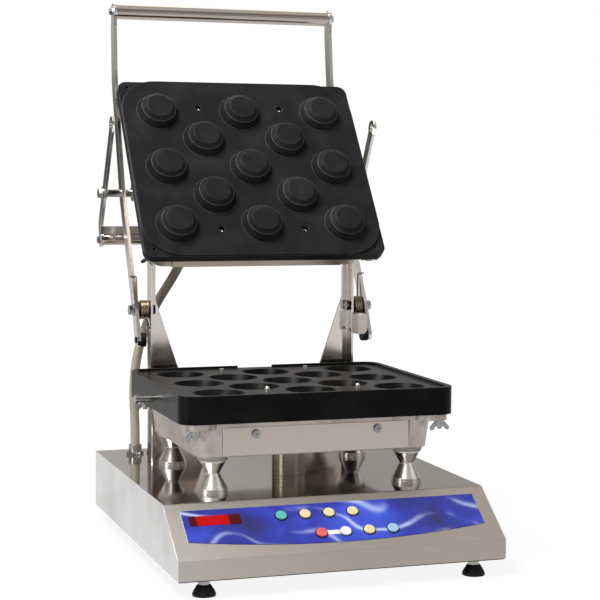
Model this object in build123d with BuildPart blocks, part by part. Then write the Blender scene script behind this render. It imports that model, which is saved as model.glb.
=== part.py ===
from build123d import *
from math import atan2, copysign, cos, degrees, hypot, pi, radians, sin, sqrt, tan
import os

os.makedirs("parts", exist_ok=True)

# Tartlet shell maker, millimetres, +Z up, X to the right, front towards -Y.
# The origin is on the table, under the middle of the bounding box.
# Sizes that end in _back are distances behind the middle of the base.

# Base housing
base_width = 430.0
base_depth = 489.0
sheet = 1.5
foot_height = 20.5
lip_height = 24.6
slope_run = 76.9
slope_rise = 55.0
fold_radius = 2.5
bottom_gap = 0.3
bottom_flange = 11.5

# Feet
foot_radius = 14.5
foot_neck_radius = 8.0
foot_rubber = 13.5
foot_stud_radius = 4.0
foot_inset_x = 37.0
foot_inset_y = 17.0

# Control panel, measured up the sloping front from its lower fold
overlay_width = 392.0
overlay_low = 29.9
overlay_bow = 15.1
overlay_high = 80.9
overlay_sheet = 0.6
window_width = 66.0
window_height = 16.0
window_x = -155.0
window_up = 62.8
button_radius = 7.2
button_gap = 0.3
button_rise = 2.2
button_travel = 0.7
button_stem_radius = 2.5
button_pitch = 31.6
upper_row_x = -69.6
upper_row_up = 63.5
lower_row_x = -24.8
lower_row_up = 30.9
board_depth = 11.0
board_sheet = 1.6

# Heater stand
spacer_x = 134.0
spacer_back = 105.0
spacer_radius = 19.5
spacer_waist = 9.4
spacer_waist_up = 24.0
spacer_top_radius = 17.0
spacer_height = 40.9
washer_height = 6.5
column_radius = 22.5
column_wall = 2.0
column_back = -8.0

# Heater pans, cast in one pattern, one under the lower plate and one on the lid
pan_half_x = 165.0
pan_half_y = 131.0
pan_depth = 46.0
pan_draft = 7.4
pan_corner = 28.0
pan_wall = 12.0
pan_floor = 6.0
pan_rim = 9.0
lug_shift = 6.0
lug_root = 14.0
lug_radius = 17.0
lug_height = 8.0
stud_x = 166.0
stud_y = 139.0
stud_radius = 3.0
wing_nut_height = 8.5
cover_half_x = 127.0
cover_inset = 3.5
cover_low = 1.5
cover_high = 37.5
cover_screw_x = 83.0
cover_screw_up = 29.0
element_radius = 4.0

# Lower plate
plate_half_x = 186.0
plate_front = 149.0
plate_rear = 155.0
rear_rim_width = 4.2
front_rim_width = 5.0
plate_corner = 22.0
plate_top = 228.3
plate_back = -1.0
rim_height = 3.0
rim_width = 8.5
rim_gap_half = 26.0
cup_depth = 15.0
cup_wall = 3.0
cup_pitch_x = 124.2
cup_pitch_y = 49.75
locating_x = 62.1
locating_y = 108.0
locating_radius = 3.3
locating_front_height = 7.2
locating_rear_height = 5.2
locating_hole = 4.5
latch_pin_radius = 4.5
latch_pin_head = 6.0
latch_pin_length = 27.5
latch_pin_back = -8.0
latch_pin_z = 211.0

# Upper plate, with one boss for each cup
lid_half_x = 176.0
lid_front = 156.3
lid_rear = 151.0
lid_corner = 55.0
lid_sheet = 16.0
ear_set_back = 3.5
ear_corner = 14.0
boss_base = 31.3
boss_height = 15.8
boss_ledge_up = 10.5
boss_ledge_radius = 25.4
boss_ledge = 0.8
boss_tip = 18.6
plate_gap = 4.0
stud_sink = 10.0
peep_radius = 2.3
lid_stud_x = 163.0
lid_stud_front = 146.5
lid_stud_rear = 138.2
lid_pan_shift = 4.0

# Lift linkage
post_x = 153.0
post_sheet = 3.0
post_front_back = 155.0
post_rear_back = 178.0
post_top = 384.0
post_flange = 11.5
gusset_top = 327.0
gusset_foot_x = 65.0
post_foot = 34.0
pivot_back = 166.8
pivot_z = 314.1
pivot_radius = 4.0
bush_radius = 10.4
arm_x = 170.6
arm_lean = 0.55
arm_sheet = 5.0
arm_width = 20.0
arm_rest_angle = 61.05
arm_knee_ahead = 7.1
arm_knee_drop = 102.1
arm_bend_behind = 1.4
arm_bend_drop = 22.1
lid_tilt = 36.68
lid_pin_forward = 19.2
lid_pin_height = 91.2
lid_pin_radius = 5.75
lid_pin_out = 201.0
handle_back = 323.0
handle_z = 747.0
handle_radius = 11.0
handle_wall = 1.5
handle_plug = 20.0
arm_eye = 12.5
running_gap = 0.06
side_gap = 0.5
tail_back = -18.8
tail_drop = -41.1
bumper_length = 8.0

# Torsion springs and their anchors
wire_radius = 1.15
coil_radius = 12.7
coil_pitch = 2.75
coil_turns = 4.125
coil_steps = 17
coil_start_angle = -45.0
coil_start_gap = 2.6
leg_length = 22.0
hook_x_end = 178.0
anchor_radius = 3.5
anchor_length = 5.5
anchor_shank_radius = 2.0

# Stop bracket
stop_gap = 0.3
stop_sheet = 2.5
stop_outer_x = 167.5
stop_low = 274.0
stop_high = 302.0

# Lid ears and terminal box, measured in the lid's plane towards the hinge
ear_x = 157.0
ear_sheet = 5.0
ear_radius = 12.0
ear_foot_low = -58.0
ear_foot_high = -2.0
ear_flange_x = 130.0
ear_bolt_radius = 3.0
ear_bolt_x = 140.0
box_x = -89.0
box_width = 54.0
box_hinge = -2.0
box_length = 56.0
box_height = 37.0
gland_out = 76.0
gland_length = 20.0

# Latch yoke
hook_x = 196.0
hook_sheet = 4.0
hook_width = 16.0
hook_angle = 119.6
hook_slot_gap = 0.8
hook_head = 12.0
hook_eye = 11.0
yoke_tube_radius = 8.0
yoke_tube_wall = 1.5
yoke_tube_back = 23.5
yoke_tube_drop = 69.0
strip_sheet = 3.0
strip_height = 12.0

# Everything measured from the middle of the base is moved by this amount
base_y = (base_depth / 2 - handle_back - arm_eye) / 2

# Heights and places that follow
shell_z = foot_height + sheet
lip_z = shell_z + lip_height
deck_z = lip_z + slope_rise
front_y = base_y - base_depth / 2
rear_y = base_y + base_depth / 2
slope_angle = atan2(slope_rise, slope_run)
panel_plane = Plane(
    origin=(0, front_y, lip_z), x_dir=(1, 0, 0), z_dir=(0, -sin(slope_angle), cos(slope_angle))
)
plate_y = base_y + plate_back
pan_floor_z = deck_z + spacer_height + washer_height
skirt_z = pan_floor_z + pan_depth
pan_top_z = skirt_z + pan_rim
pivot_y = base_y + pivot_back
latch_pin_y = base_y + latch_pin_back

# The arms turn the lid pin from its rest place to its place on the closed lid
closed_pin_y = plate_y - lid_pin_forward
closed_pin_z = plate_top + plate_gap + lid_pin_height
arm_reach = hypot(closed_pin_y - pivot_y, closed_pin_z - pivot_z)
closed_angle = degrees(atan2(closed_pin_z - pivot_z, closed_pin_y - pivot_y))
lift_angle = closed_angle - arm_rest_angle
lid_turn = 90 + lid_tilt
swivel_angle = lid_turn - lift_angle
pin_y = pivot_y + arm_reach * cos(radians(arm_rest_angle))
pin_z = pivot_z + arm_reach * sin(radians(arm_rest_angle))
print(f"lift {lift_angle:.3f} deg, lid swivel {swivel_angle:.3f} deg")
print(f"pivot {pivot_y:.3f} {pivot_z:.3f}, lid pin {pin_y:.3f} {pin_z:.3f}")

# The lid's own plane: its X is the machine's, its Y points to the hinge, its Z away from the cups
lid_out = Vector(0, cos(radians(lid_tilt)), -sin(radians(lid_tilt)))
lid_hinge = Vector(0, -sin(radians(lid_tilt)), -cos(radians(lid_tilt)))
lid_centre = Vector(0, pin_y, pin_z) - lid_out * lid_pin_height + lid_hinge * lid_pin_forward
lid_plane = Plane(origin=lid_centre, x_dir=(1, 0, 0), z_dir=lid_out)

# The spring's lower leg leaves its anchor along the way in which it meets the coil
coil_start_x = post_x + coil_start_gap
leg_angle = radians(coil_start_angle + 90)
leg_start_x = coil_start_x - leg_length * coil_pitch / (2 * pi * coil_radius)
anchor_y = pivot_y + coil_radius * cos(radians(coil_start_angle)) - leg_length * cos(leg_angle)
anchor_z = pivot_z + coil_radius * sin(radians(coil_start_angle)) - leg_length * sin(leg_angle)
hook_clear = arm_width / 2 + wire_radius + 0.4
rest_angle = radians(arm_rest_angle)
hook_z = pivot_z + (hook_clear + coil_radius * sin(rest_angle)) / cos(rest_angle)
stop_screw_y = base_y + post_front_back + 6
stop_screw_z = stop_low + 5
ear_bolt_places = [(s * ear_bolt_x, y) for s in (-1, 1) for y in (ear_foot_low + 14, ear_foot_high - 14)]

# Cups and bosses stand in five staggered rows
cup_places = [(i * cup_pitch_x, j * cup_pitch_y) for j in (-2, 0, 2) for i in (-1, 0, 1)]
cup_places += [(i * cup_pitch_x / 2, j * cup_pitch_y) for j in (-1, 1) for i in (-1, 1)]
plate_studs = [(sx * stud_x, sy * stud_y) for sx in (-1, 1) for sy in (-1, 1)]
lid_studs = [(sx * lid_stud_x, y) for sx in (-1, 1) for y in (-lid_stud_front, lid_stud_rear)]
ledge_share = boss_ledge_up / boss_height
boss_steps = [
    (0, boss_base),
    (ledge_share, boss_ledge_radius),
    (ledge_share, boss_ledge_radius - boss_ledge),
    (1, boss_tip),
]


def stepped_outline(grow, height):
    """The stepped side of a boss or a cup: radius, grown by a wall, and distance from the plate."""
    return [(radius + grow, share * height) for share, radius in boss_steps]


def rod(plane, radius, length, mode=Mode.ADD):
    """A round bar or hole that starts on a plane."""
    with BuildSketch(plane) as section:
        Circle(radius)
    extrude(section.sketch, amount=length, mode=mode)


def hexagon(plane, across_flats, length):
    """A bolt head or nut that starts on a plane."""
    with BuildSketch(plane) as section:
        RegularPolygon(across_flats / 2, 6, major_radius=False)
    extrude(section.sketch, amount=length)


def x_plane(x, y, z):
    """A plane square to X that faces away from the machine's middle."""
    return Plane(origin=(x, y, z), x_dir=(0, 1, 0), z_dir=(1 if x > 0 else -1, 0, 0))


def side_plane(x):
    """The YZ plane at a distance along X."""
    return Plane.YZ.offset(x)


def pan_screw(plane, radius, head_radius, head, length):
    """A pan-head screw with a cross recess, its head standing on the plane."""
    rod(plane, head_radius, head)
    rod(plane.offset(-length), radius, length)
    for turn in (0, 90):
        with BuildSketch(plane.offset(head / 2)) as slot:
            Rectangle(head_radius * 1.1, head_radius * 0.22, rotation=turn)
        extrude(slot.sketch, amount=head, mode=Mode.SUBTRACT)


# Base housing: folded stainless sheet, open below, with its cut-outs
outer_side = [
    (front_y, shell_z),
    (front_y, lip_z),
    (front_y + slope_run, deck_z),
    (rear_y, deck_z),
    (rear_y, shell_z),
]
inner_up = sheet / cos(slope_angle)
inner_low = lip_z + sheet * tan(slope_angle) - inner_up
inner_run = (deck_z - sheet - inner_low) / tan(slope_angle)
inner_side = [
    (front_y + sheet, shell_z - 1),
    (front_y + sheet, inner_low),
    (front_y + sheet + inner_run, deck_z - sheet),
    (rear_y - sheet, deck_z - sheet),
    (rear_y - sheet, shell_z - 1),
]
button_places = [(upper_row_x + i * button_pitch, upper_row_up) for i in range(4)]
button_places += [(lower_row_x + i * button_pitch, lower_row_up) for i in range(4)]
button_hole = button_radius + button_gap
slot_gap = 0.5
post_screw_x = 144.0
post_screw_inner_x = 80.0
post_screw_y = base_y + 201.0
post_screw_radius = 2.5
gland_x = -166.0
gland_y = base_y + 200.0
gland_radius = 9.0
mains_gland_x = -150.0
mains_gland_z = 60.0
mains_gland_radius = 8.0
with BuildPart() as base_housing:
    with BuildSketch(Plane.YZ) as outline:
        with BuildLine():
            Polyline(outer_side, close=True)
        make_face()
        fillet(outline.vertices().group_by(Axis.Y)[-1], fold_radius)
    extrude(amount=base_width / 2, both=True)
    with BuildSketch(Plane.YZ):
        with BuildLine():
            Polyline(inner_side, close=True)
        make_face()
    extrude(amount=base_width / 2 - sheet, both=True, mode=Mode.SUBTRACT)
    with BuildSketch(panel_plane.offset(-2 * sheet)):
        with Locations(button_places):
            Circle(button_hole)
        with Locations((window_x, window_up)):
            Rectangle(window_width - 4, window_height - 4)
    extrude(amount=4 * sheet, mode=Mode.SUBTRACT)
    with BuildSketch(Plane.XY.offset(deck_z - 2 * sheet)):
        for side in (-1, 1):
            with Locations((side * (post_x - post_sheet / 2), base_y + (post_front_back + post_rear_back) / 2)):
                Rectangle(post_sheet + 2 * slot_gap, post_rear_back - post_front_back + 2 * slot_gap)
            with Locations((side * (post_x + gusset_foot_x) / 2, base_y + post_rear_back - post_sheet / 2)):
                Rectangle(post_x - gusset_foot_x + 4 * slot_gap, post_sheet + 2 * slot_gap)
        with Locations((0, base_y + column_back)):
            Circle(column_radius - 2 * column_wall)
        with Locations((gland_x, gland_y)):
            Circle(gland_radius)
        with Locations(
            [(s * x, post_screw_y) for s in (-1, 1) for x in (post_screw_x, post_screw_inner_x)]
        ):
            Circle(post_screw_radius + running_gap)
    extrude(amount=4 * sheet, mode=Mode.SUBTRACT)
    rod(
        Plane(origin=(mains_gland_x, rear_y + sheet, mains_gland_z), z_dir=(0, -1, 0)),
        mains_gland_radius,
        4 * sheet,
        Mode.SUBTRACT,
    )
base_housing.part.label = "base_housing"
export_step(base_housing.part, "parts/base_housing.step")

# Bottom plate: a shallow tray that closes the housing from below, its flanges inside the walls
foot_places = [
    (sx * (base_width / 2 - foot_inset_x), base_y + sy * (base_depth / 2 - foot_inset_y))
    for sx in (-1, 1)
    for sy in (-1, 1)
]
tray_width = base_width - 2 * (sheet + bottom_gap)
tray_depth = base_depth - 2 * (sheet + bottom_gap)
with BuildPart() as base_bottom_plate:
    with BuildSketch(Plane.XY.offset(foot_height)):
        with Locations((0, base_y)):
            Rectangle(tray_width, tray_depth)
    extrude(amount=bottom_flange)
    with BuildSketch(Plane.XY.offset(shell_z)):
        with Locations((0, base_y)):
            Rectangle(tray_width - 2 * sheet, tray_depth - 2 * sheet)
    extrude(amount=bottom_flange, mode=Mode.SUBTRACT)
    with BuildSketch(Plane.XY.offset(foot_height - 1)):
        with Locations(foot_places):
            Circle(foot_stud_radius + running_gap)
    extrude(amount=sheet + 2, mode=Mode.SUBTRACT)
base_bottom_plate.part.label = "base_bottom_plate"
export_step(base_bottom_plate.part, "parts/base_bottom_plate.step")

# Feet: rubber bells on threaded studs with a nut each
with BuildSketch(Plane.XZ) as foot_profile:
    with BuildLine():
        Polyline(
            (foot_stud_radius + running_gap, 0),
            (foot_radius, 0),
            (foot_radius, 3),
            (foot_radius - 2, 7),
            (foot_neck_radius + 1, foot_rubber - 1),
            (foot_neck_radius, foot_rubber),
            (foot_stud_radius + running_gap, foot_rubber),
            close=True,
        )
    make_face()
with BuildPart() as rubber_feet:
    for x, y in foot_places:
        revolve(foot_profile.sketch.moved(Location((x, y, 0))), axis=Axis((x, y, 0), (0, 0, 1)))
rubber_feet.part.label = "rubber_feet"
export_step(rubber_feet.part, "parts/rubber_feet.step")

with BuildPart() as foot_studs:
    for x, y in foot_places:
        rod(Plane(origin=(x, y, 1.5)), foot_stud_radius, foot_height + 12)
        hexagon(Plane(origin=(x, y, foot_rubber)), 13, foot_height - foot_rubber)
foot_studs.part.label = "foot_studs"
export_step(foot_studs.part, "parts/foot_studs.step")

# Control overlay: a printed sheet with a bowed lower edge, a window and eight button holes
overlay_up = (overlay_low + overlay_high) / 2
with BuildPart() as control_overlay:
    with BuildSketch(panel_plane):
        with BuildLine():
            Polyline(
                (-overlay_width / 2, overlay_low),
                (-overlay_width / 2, overlay_high),
                (overlay_width / 2, overlay_high),
                (overlay_width / 2, overlay_low),
            )
            ThreePointArc(
                (overlay_width / 2, overlay_low),
                (0, overlay_low - overlay_bow),
                (-overlay_width / 2, overlay_low),
            )
        make_face()
        with Locations(button_places):
            Circle(button_hole, mode=Mode.SUBTRACT)
        with Locations((window_x, window_up)):
            Rectangle(window_width, window_height, mode=Mode.SUBTRACT)
    extrude(amount=overlay_sheet)
control_overlay.part.label = "control_overlay"
export_step(control_overlay.part, "parts/control_overlay.step")

with BuildPart() as display_window:
    with BuildSketch(panel_plane):
        with Locations((window_x, window_up)):
            RectangleRounded(window_width - 0.2, window_height - 0.2, 1)
    extrude(amount=overlay_sheet + 0.4)
display_window.part.label = "display_window"
export_step(display_window.part, "parts/display_window.step")

# Display block behind the window, on the control board
display_depth = board_depth - 3.5
with BuildPart() as display_module:
    with BuildSketch(panel_plane.offset(-board_depth)):
        with Locations((window_x, window_up)):
            Rectangle(window_width - 6, window_height - 5)
    extrude(amount=display_depth)
display_module.part.label = "display_module"
export_step(display_module.part, "parts/display_module.step")

# Control board with one push switch under each button and its stand-offs
stem_end = board_depth - 5.0
with BuildPart() as control_board:
    with BuildSketch(panel_plane.offset(-board_depth - board_sheet)):
        with Locations((-50, overlay_up - 6)):
            Rectangle(285, 46)
    extrude(amount=board_sheet)
    with BuildSketch(panel_plane.offset(-board_depth)):
        with Locations(button_places):
            Rectangle(6, 6)
    extrude(amount=board_depth - stem_end - button_travel - 0.1)
    with BuildSketch(panel_plane.offset(-board_depth)):
        with Locations(
            [(-50 + sx * 138, overlay_up - 6 + sy * 19) for sx in (-1, 1) for sy in (-1, 1)]
        ):
            Circle(2.5)
    extrude(amount=board_depth - sheet)
control_board.part.label = "control_board"
export_step(control_board.part, "parts/control_board.step")

# Push buttons: a cap in the overlay's hole, a collar under the sheet and a stem to its switch
button_names = [f"button_upper_{i + 1}" for i in range(4)] + [f"button_lower_{i + 1}" for i in range(4)]
for name, (x, up) in zip(button_names, button_places):
    with BuildPart() as button:
        with BuildSketch(panel_plane.offset(-sheet - 0.4)):
            with Locations((x, up)):
                Circle(button_radius)
        extrude(amount=sheet + 0.4 + overlay_sheet + button_rise)
        fillet(button.faces().sort_by(Axis(panel_plane.origin, panel_plane.z_dir))[-1].edges(), 0.9)
        with BuildSketch(panel_plane.offset(-stem_end)):
            with Locations((x, up)):
                Circle(button_stem_radius)
        extrude(amount=stem_end - sheet)
    button.part.label = name
    export_step(button.part, f"parts/{name}.step")

# Switchgear inside the base
with BuildPart() as heater_relay:
    with BuildSketch(Plane.XY.offset(shell_z)):
        with Locations((95, base_y + 90)):
            RectangleRounded(58, 70, 2)
    extrude(amount=46)
    with BuildSketch(Plane.XY.offset(shell_z + 46)):
        with Locations((95, base_y + 90)):
            Rectangle(46, 40)
    extrude(amount=12)
heater_relay.part.label = "heater_relay"
export_step(heater_relay.part, "parts/heater_relay.step")

with BuildPart() as terminal_block:
    with BuildSketch(Plane.XY.offset(shell_z)):
        with Locations((-60, base_y + 130)):
            Rectangle(90, 24)
    extrude(amount=10)
    with BuildSketch(Plane.XY.offset(shell_z + 10)):
        with Locations((-60, base_y + 130)):
            with GridLocations(14, 1, 6, 1):
                Rectangle(11, 18)
    extrude(amount=12)
terminal_block.part.label = "terminal_block"
export_step(terminal_block.part, "parts/terminal_block.step")

# Cable gland for the mains lead, in the rear wall
with BuildPart() as mains_gland:
    rear = Plane(origin=(mains_gland_x, rear_y, mains_gland_z), x_dir=(1, 0, 0), z_dir=(0, 1, 0))
    rod(rear.offset(-10), mains_gland_radius - 0.2, 30)
    hexagon(rear, 24, 6)
    hexagon(rear.offset(-sheet - 5), 24, 5)
    rod(rear.offset(8), 10, 9)
    rod(rear.offset(-12), 4.5, 40, Mode.SUBTRACT)
mains_gland.part.label = "mains_gland"
export_step(mains_gland.part, "parts/mains_gland.step")

# Conduit gland on the deck
hose_radius = 6.75
hose_start_z = deck_z + 14.0
with BuildPart() as conduit_base_gland:
    rod(Plane(origin=(gland_x, gland_y, deck_z - 8)), gland_radius - 0.2, 16)
    hexagon(Plane(origin=(gland_x, gland_y, deck_z)), 22, 4)
    hexagon(Plane(origin=(gland_x, gland_y, deck_z - sheet - 4)), 22, 4)
    rod(Plane(origin=(gland_x, gland_y, deck_z + 4)), 9.5, 10)
    rod(Plane(origin=(gland_x, gland_y, deck_z - 9)), 5, 24, Mode.SUBTRACT)
conduit_base_gland.part.label = "conduit_base_gland"
export_step(conduit_base_gland.part, "parts/conduit_base_gland.step")

# Conduit from the base to the lid's terminal box
hose_end = lid_plane.from_local_coords(
    Vector(box_x, box_hinge + box_length / 2 + gland_length, gland_out)
)
hose_turn = hose_end + lid_plane.y_dir * 18
hose_points = [
    (gland_x, gland_y, hose_start_z),
    (gland_x, gland_y, 150),
    (-168.6, base_y + 199.2, 187),
    (-167, base_y + 197.5, 224),
    (-161, base_y + 195, 260),
    (-150, base_y + 191.5, 294),
    (-134.5, base_y + 187.8, 326),
    (-116, base_y + 184.5, 355),
    (-103, base_y + 183.2, 378.5),
    (-93.6, base_y + 186.8, 401.3),
    (hose_turn.X, hose_turn.Y, hose_turn.Z),
    (hose_end.X, hose_end.Y, hose_end.Z),
]


def corner_radii(points):
    """The largest even bend at each inner point: 0.45 of its shorter run over tan(half turn)."""
    radii = []
    for a, b, c in zip(points, points[1:], points[2:]):
        run_in = Vector(*b) - Vector(*a)
        run_out = Vector(*c) - Vector(*b)
        half_turn = radians(run_in.get_angle(run_out)) / 2
        radii.append(0.45 * min(run_in.length, run_out.length) / tan(half_turn))
    return radii


hose_radii = corner_radii(hose_points)
print("conduit bend radii", [round(r, 1) for r in hose_radii])
with BuildPart() as conduit_hose:
    with BuildLine() as hose_route:
        FilletPolyline(*hose_points, radius=hose_radii)
    with BuildSketch(hose_route.line ^ 0):
        Circle(hose_radius)
    sweep()
hose_length = hose_route.wire().length
hose_volume = pi * hose_radius**2 * hose_length
print(f"conduit length {hose_length:.1f}, volume {conduit_hose.part.volume:.0f} of {hose_volume:.0f}")
conduit_hose.part.label = "conduit_hose"
export_step(conduit_hose.part, "parts/conduit_hose.step")

# Spacers that hold the hot pan off the deck, turned with a waist
spacer_places = [(sx * spacer_x, base_y + sy * spacer_back) for sx in (-1, 1) for sy in (-1, 1)]
with BuildSketch(Plane.XZ) as spacer_profile:
    with BuildLine():
        Polyline(
            (0, deck_z),
            (spacer_radius, deck_z),
            (spacer_radius, deck_z + 2.2),
            (spacer_radius - 0.9, deck_z + 2.5),
            (spacer_radius - 0.9, deck_z + 3.3),
            (spacer_radius, deck_z + 3.6),
            (spacer_radius, deck_z + 5.2),
            (spacer_waist, deck_z + spacer_waist_up),
            (spacer_waist, deck_z + spacer_waist_up + 1),
            (spacer_top_radius, deck_z + spacer_height - 1.4),
            (spacer_top_radius, deck_z + spacer_height),
            (0, deck_z + spacer_height),
            close=True,
        )
    make_face()
with BuildPart() as heater_spacers:
    for x, y in spacer_places:
        revolve(spacer_profile.sketch.moved(Location((x, y, 0))), axis=Axis((x, y, 0), (0, 0, 1)))
heater_spacers.part.label = "heater_spacers"
export_step(heater_spacers.part, "parts/heater_spacers.step")

washer_low = deck_z + spacer_height
washer_radius = spacer_radius + 0.5
with BuildSketch(Plane.XZ) as washer_profile:
    with BuildLine():
        Polyline(
            (0, washer_low),
            (washer_radius - 1.4, washer_low),
            (washer_radius - 0.4, washer_low + 0.8),
            (washer_radius - 0.4, washer_low + 2.4),
            (washer_radius - 1.4, washer_low + 3),
            (washer_radius, washer_low + 3.8),
            (washer_radius, washer_low + washer_height - 0.9),
            (washer_radius - 1, washer_low + washer_height),
            (0, washer_low + washer_height),
            close=True,
        )
    make_face()
with BuildPart() as spacer_washers:
    for x, y in spacer_places:
        revolve(washer_profile.sketch.moved(Location((x, y, 0))), axis=Axis((x, y, 0), (0, 0, 1)))
spacer_washers.part.label = "spacer_washers"
export_step(spacer_washers.part, "parts/spacer_washers.step")

# Wiring column between the base and the lower pan
with BuildPart() as centre_column:
    column_foot = Plane(origin=(0, base_y + column_back, deck_z))
    rod(column_foot, column_radius, pan_floor_z - deck_z)
    rod(column_foot, column_radius - column_wall, pan_floor_z - deck_z, Mode.SUBTRACT)
centre_column.part.label = "centre_column"
export_step(centre_column.part, "parts/centre_column.step")


def pan_body(floor, rim, cover_side, studs):
    """A heater pan. The plane floor is its closed face, with Z towards its plate."""
    with BuildSketch(floor.offset(pan_depth)) as mouth:
        RectangleRounded(2 * pan_half_x, 2 * pan_half_y, pan_corner)
    extrude(mouth.sketch, amount=-pan_depth, taper=pan_draft)
    if rim:
        extrude(mouth.sketch, amount=rim)
    with BuildSketch(floor.offset(pan_depth)) as lugs:
        for inset in (lug_shift, lug_root):
            with Locations([(x - copysign(inset, x), y - copysign(inset, y)) for x, y in studs]):
                Circle(lug_radius)
    extrude(lugs.sketch, amount=-lug_height)
    with BuildSketch(floor.offset(pan_floor)) as hollow:
        RectangleRounded(2 * (pan_half_x - pan_wall), 2 * (pan_half_y - pan_wall), pan_corner - pan_wall)
    extrude(hollow.sketch, amount=pan_depth - pan_floor + rim, mode=Mode.SUBTRACT)
    with BuildSketch(floor.offset(pan_depth - lug_height - 2)) as stud_holes:
        with Locations(studs):
            Circle(stud_radius + 0.3)
    extrude(stud_holes.sketch, amount=lug_height + 4, mode=Mode.SUBTRACT)
    seat = pan_half_y - cover_inset - sheet
    with BuildSketch(floor.offset(cover_low - 3)) as recess:
        with Locations((0, cover_side * (seat + 15))):
            Rectangle(2 * cover_half_x + 1, 30)
    extrude(recess.sketch, amount=cover_high - cover_low + 3.5, mode=Mode.SUBTRACT)
    for x in (-cover_screw_x, cover_screw_x):
        hole = Plane(
            origin=floor.from_local_coords(Vector(x, cover_side * (seat + 1), cover_screw_up)),
            z_dir=floor.y_dir * -cover_side,
        )
        rod(hole, 2.2, 11, Mode.SUBTRACT)


def pan_cover(floor, cover_side):
    """The stainless sheet on a pan's side, seated in its recess."""
    seat = pan_half_y - cover_inset - sheet
    with BuildSketch(floor.offset(cover_low)) as edge:
        with Locations((0, cover_side * (seat + sheet / 2))):
            Rectangle(2 * cover_half_x, sheet)
    extrude(edge.sketch, amount=cover_high - cover_low)
    for x in (-cover_screw_x, cover_screw_x):
        hole = Plane(
            origin=floor.from_local_coords(Vector(x, cover_side * (seat + 5), cover_screw_up)),
            z_dir=floor.y_dir * -cover_side,
        )
        rod(hole, 2.2, 10, Mode.SUBTRACT)


def pan_cover_screws(floor, cover_side):
    """Two pan-head screws with washers that hold a pan's side sheet."""
    face = pan_half_y - cover_inset
    for x in (-cover_screw_x, cover_screw_x):
        head = Plane(
            origin=floor.from_local_coords(Vector(x, cover_side * face, cover_screw_up)),
            z_dir=floor.y_dir * cover_side,
        )
        rod(head, 6, 1)
        pan_screw(head.offset(1), 2, 4.6, 3, 9)


def heating_loop(level):
    """A tubular element bent into an open ring. Both ends turn in beside the middle."""
    reach_x = pan_half_x - pan_wall - 25
    reach_y = pan_half_y - pan_wall - 25
    with BuildLine(level, mode=Mode.PRIVATE) as route:
        FilletPolyline(
            (-25, -15),
            (-reach_x, -15),
            (-reach_x, -reach_y),
            (reach_x, -reach_y),
            (reach_x, reach_y),
            (-reach_x, reach_y),
            (-reach_x, 15),
            (-25, 15),
            radius=12,
        )
    with BuildSketch(route.line ^ 0, mode=Mode.PRIVATE) as section:
        Circle(element_radius)
    sweep(section.sketch, path=route.line)


def wing_nut(seat):
    """A wing nut that stands on the plane seat, with its stud's end through it."""
    rod(seat, 5.5, wing_nut_height)
    for side in (-1, 1):
        with BuildSketch(Plane(origin=seat.origin, x_dir=seat.x_dir, z_dir=seat.y_dir)) as wing:
            with BuildLine():
                Polyline(
                    (side * 3, -1.5),
                    (side * 7, -2),
                    (side * 13.5, -9.5),
                    (side * 12.5, -13.5),
                    (side * 9, -13),
                    (side * 5, -7.5),
                    (side * 3, -7.5),
                    close=True,
                )
            make_face()
        extrude(wing.sketch, amount=1.25, both=True)


def plate_fixings(seat, studs, grip, reach):
    """Four studs, from a plate's corners through the lugs, each with a wing nut."""
    for x, y in studs:
        spot = seat.from_local_coords(Vector(x, y, 0))
        along = Plane(origin=spot, x_dir=seat.x_dir, z_dir=seat.z_dir)
        rod(along.offset(-grip), stud_radius, grip + wing_nut_height + reach)
        wing_nut(along)


# Lower heater pan, with the hole for the wiring column
pan_low = Plane(origin=(0, plate_y, pan_floor_z))
with BuildPart() as lower_heater_pan:
    pan_body(pan_low, pan_rim, -1, plate_studs)
    rod(Plane(origin=(0, base_y + column_back, pan_floor_z)), column_radius - 2 * column_wall, 10, Mode.SUBTRACT)
lower_heater_pan.part.label = "lower_heater_pan"
export_step(lower_heater_pan.part, "parts/lower_heater_pan.step")

with BuildPart() as lower_front_cover:
    pan_cover(pan_low, -1)
lower_front_cover.part.label = "lower_front_cover"
export_step(lower_front_cover.part, "parts/lower_front_cover.step")

with BuildPart() as lower_heating_element:
    heating_loop(Plane(origin=(0, plate_y, pan_top_z - element_radius - 0.2)))
lower_heating_element.part.label = "lower_heating_element"
export_step(lower_heating_element.part, "parts/lower_heating_element.step")

with BuildPart() as temperature_probe:
    rod(Plane(origin=(20, plate_y, pan_top_z - 3.2), z_dir=(1, 0, 0)), 3, 62)
temperature_probe.part.label = "temperature_probe"
export_step(temperature_probe.part, "parts/temperature_probe.step")

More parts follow.
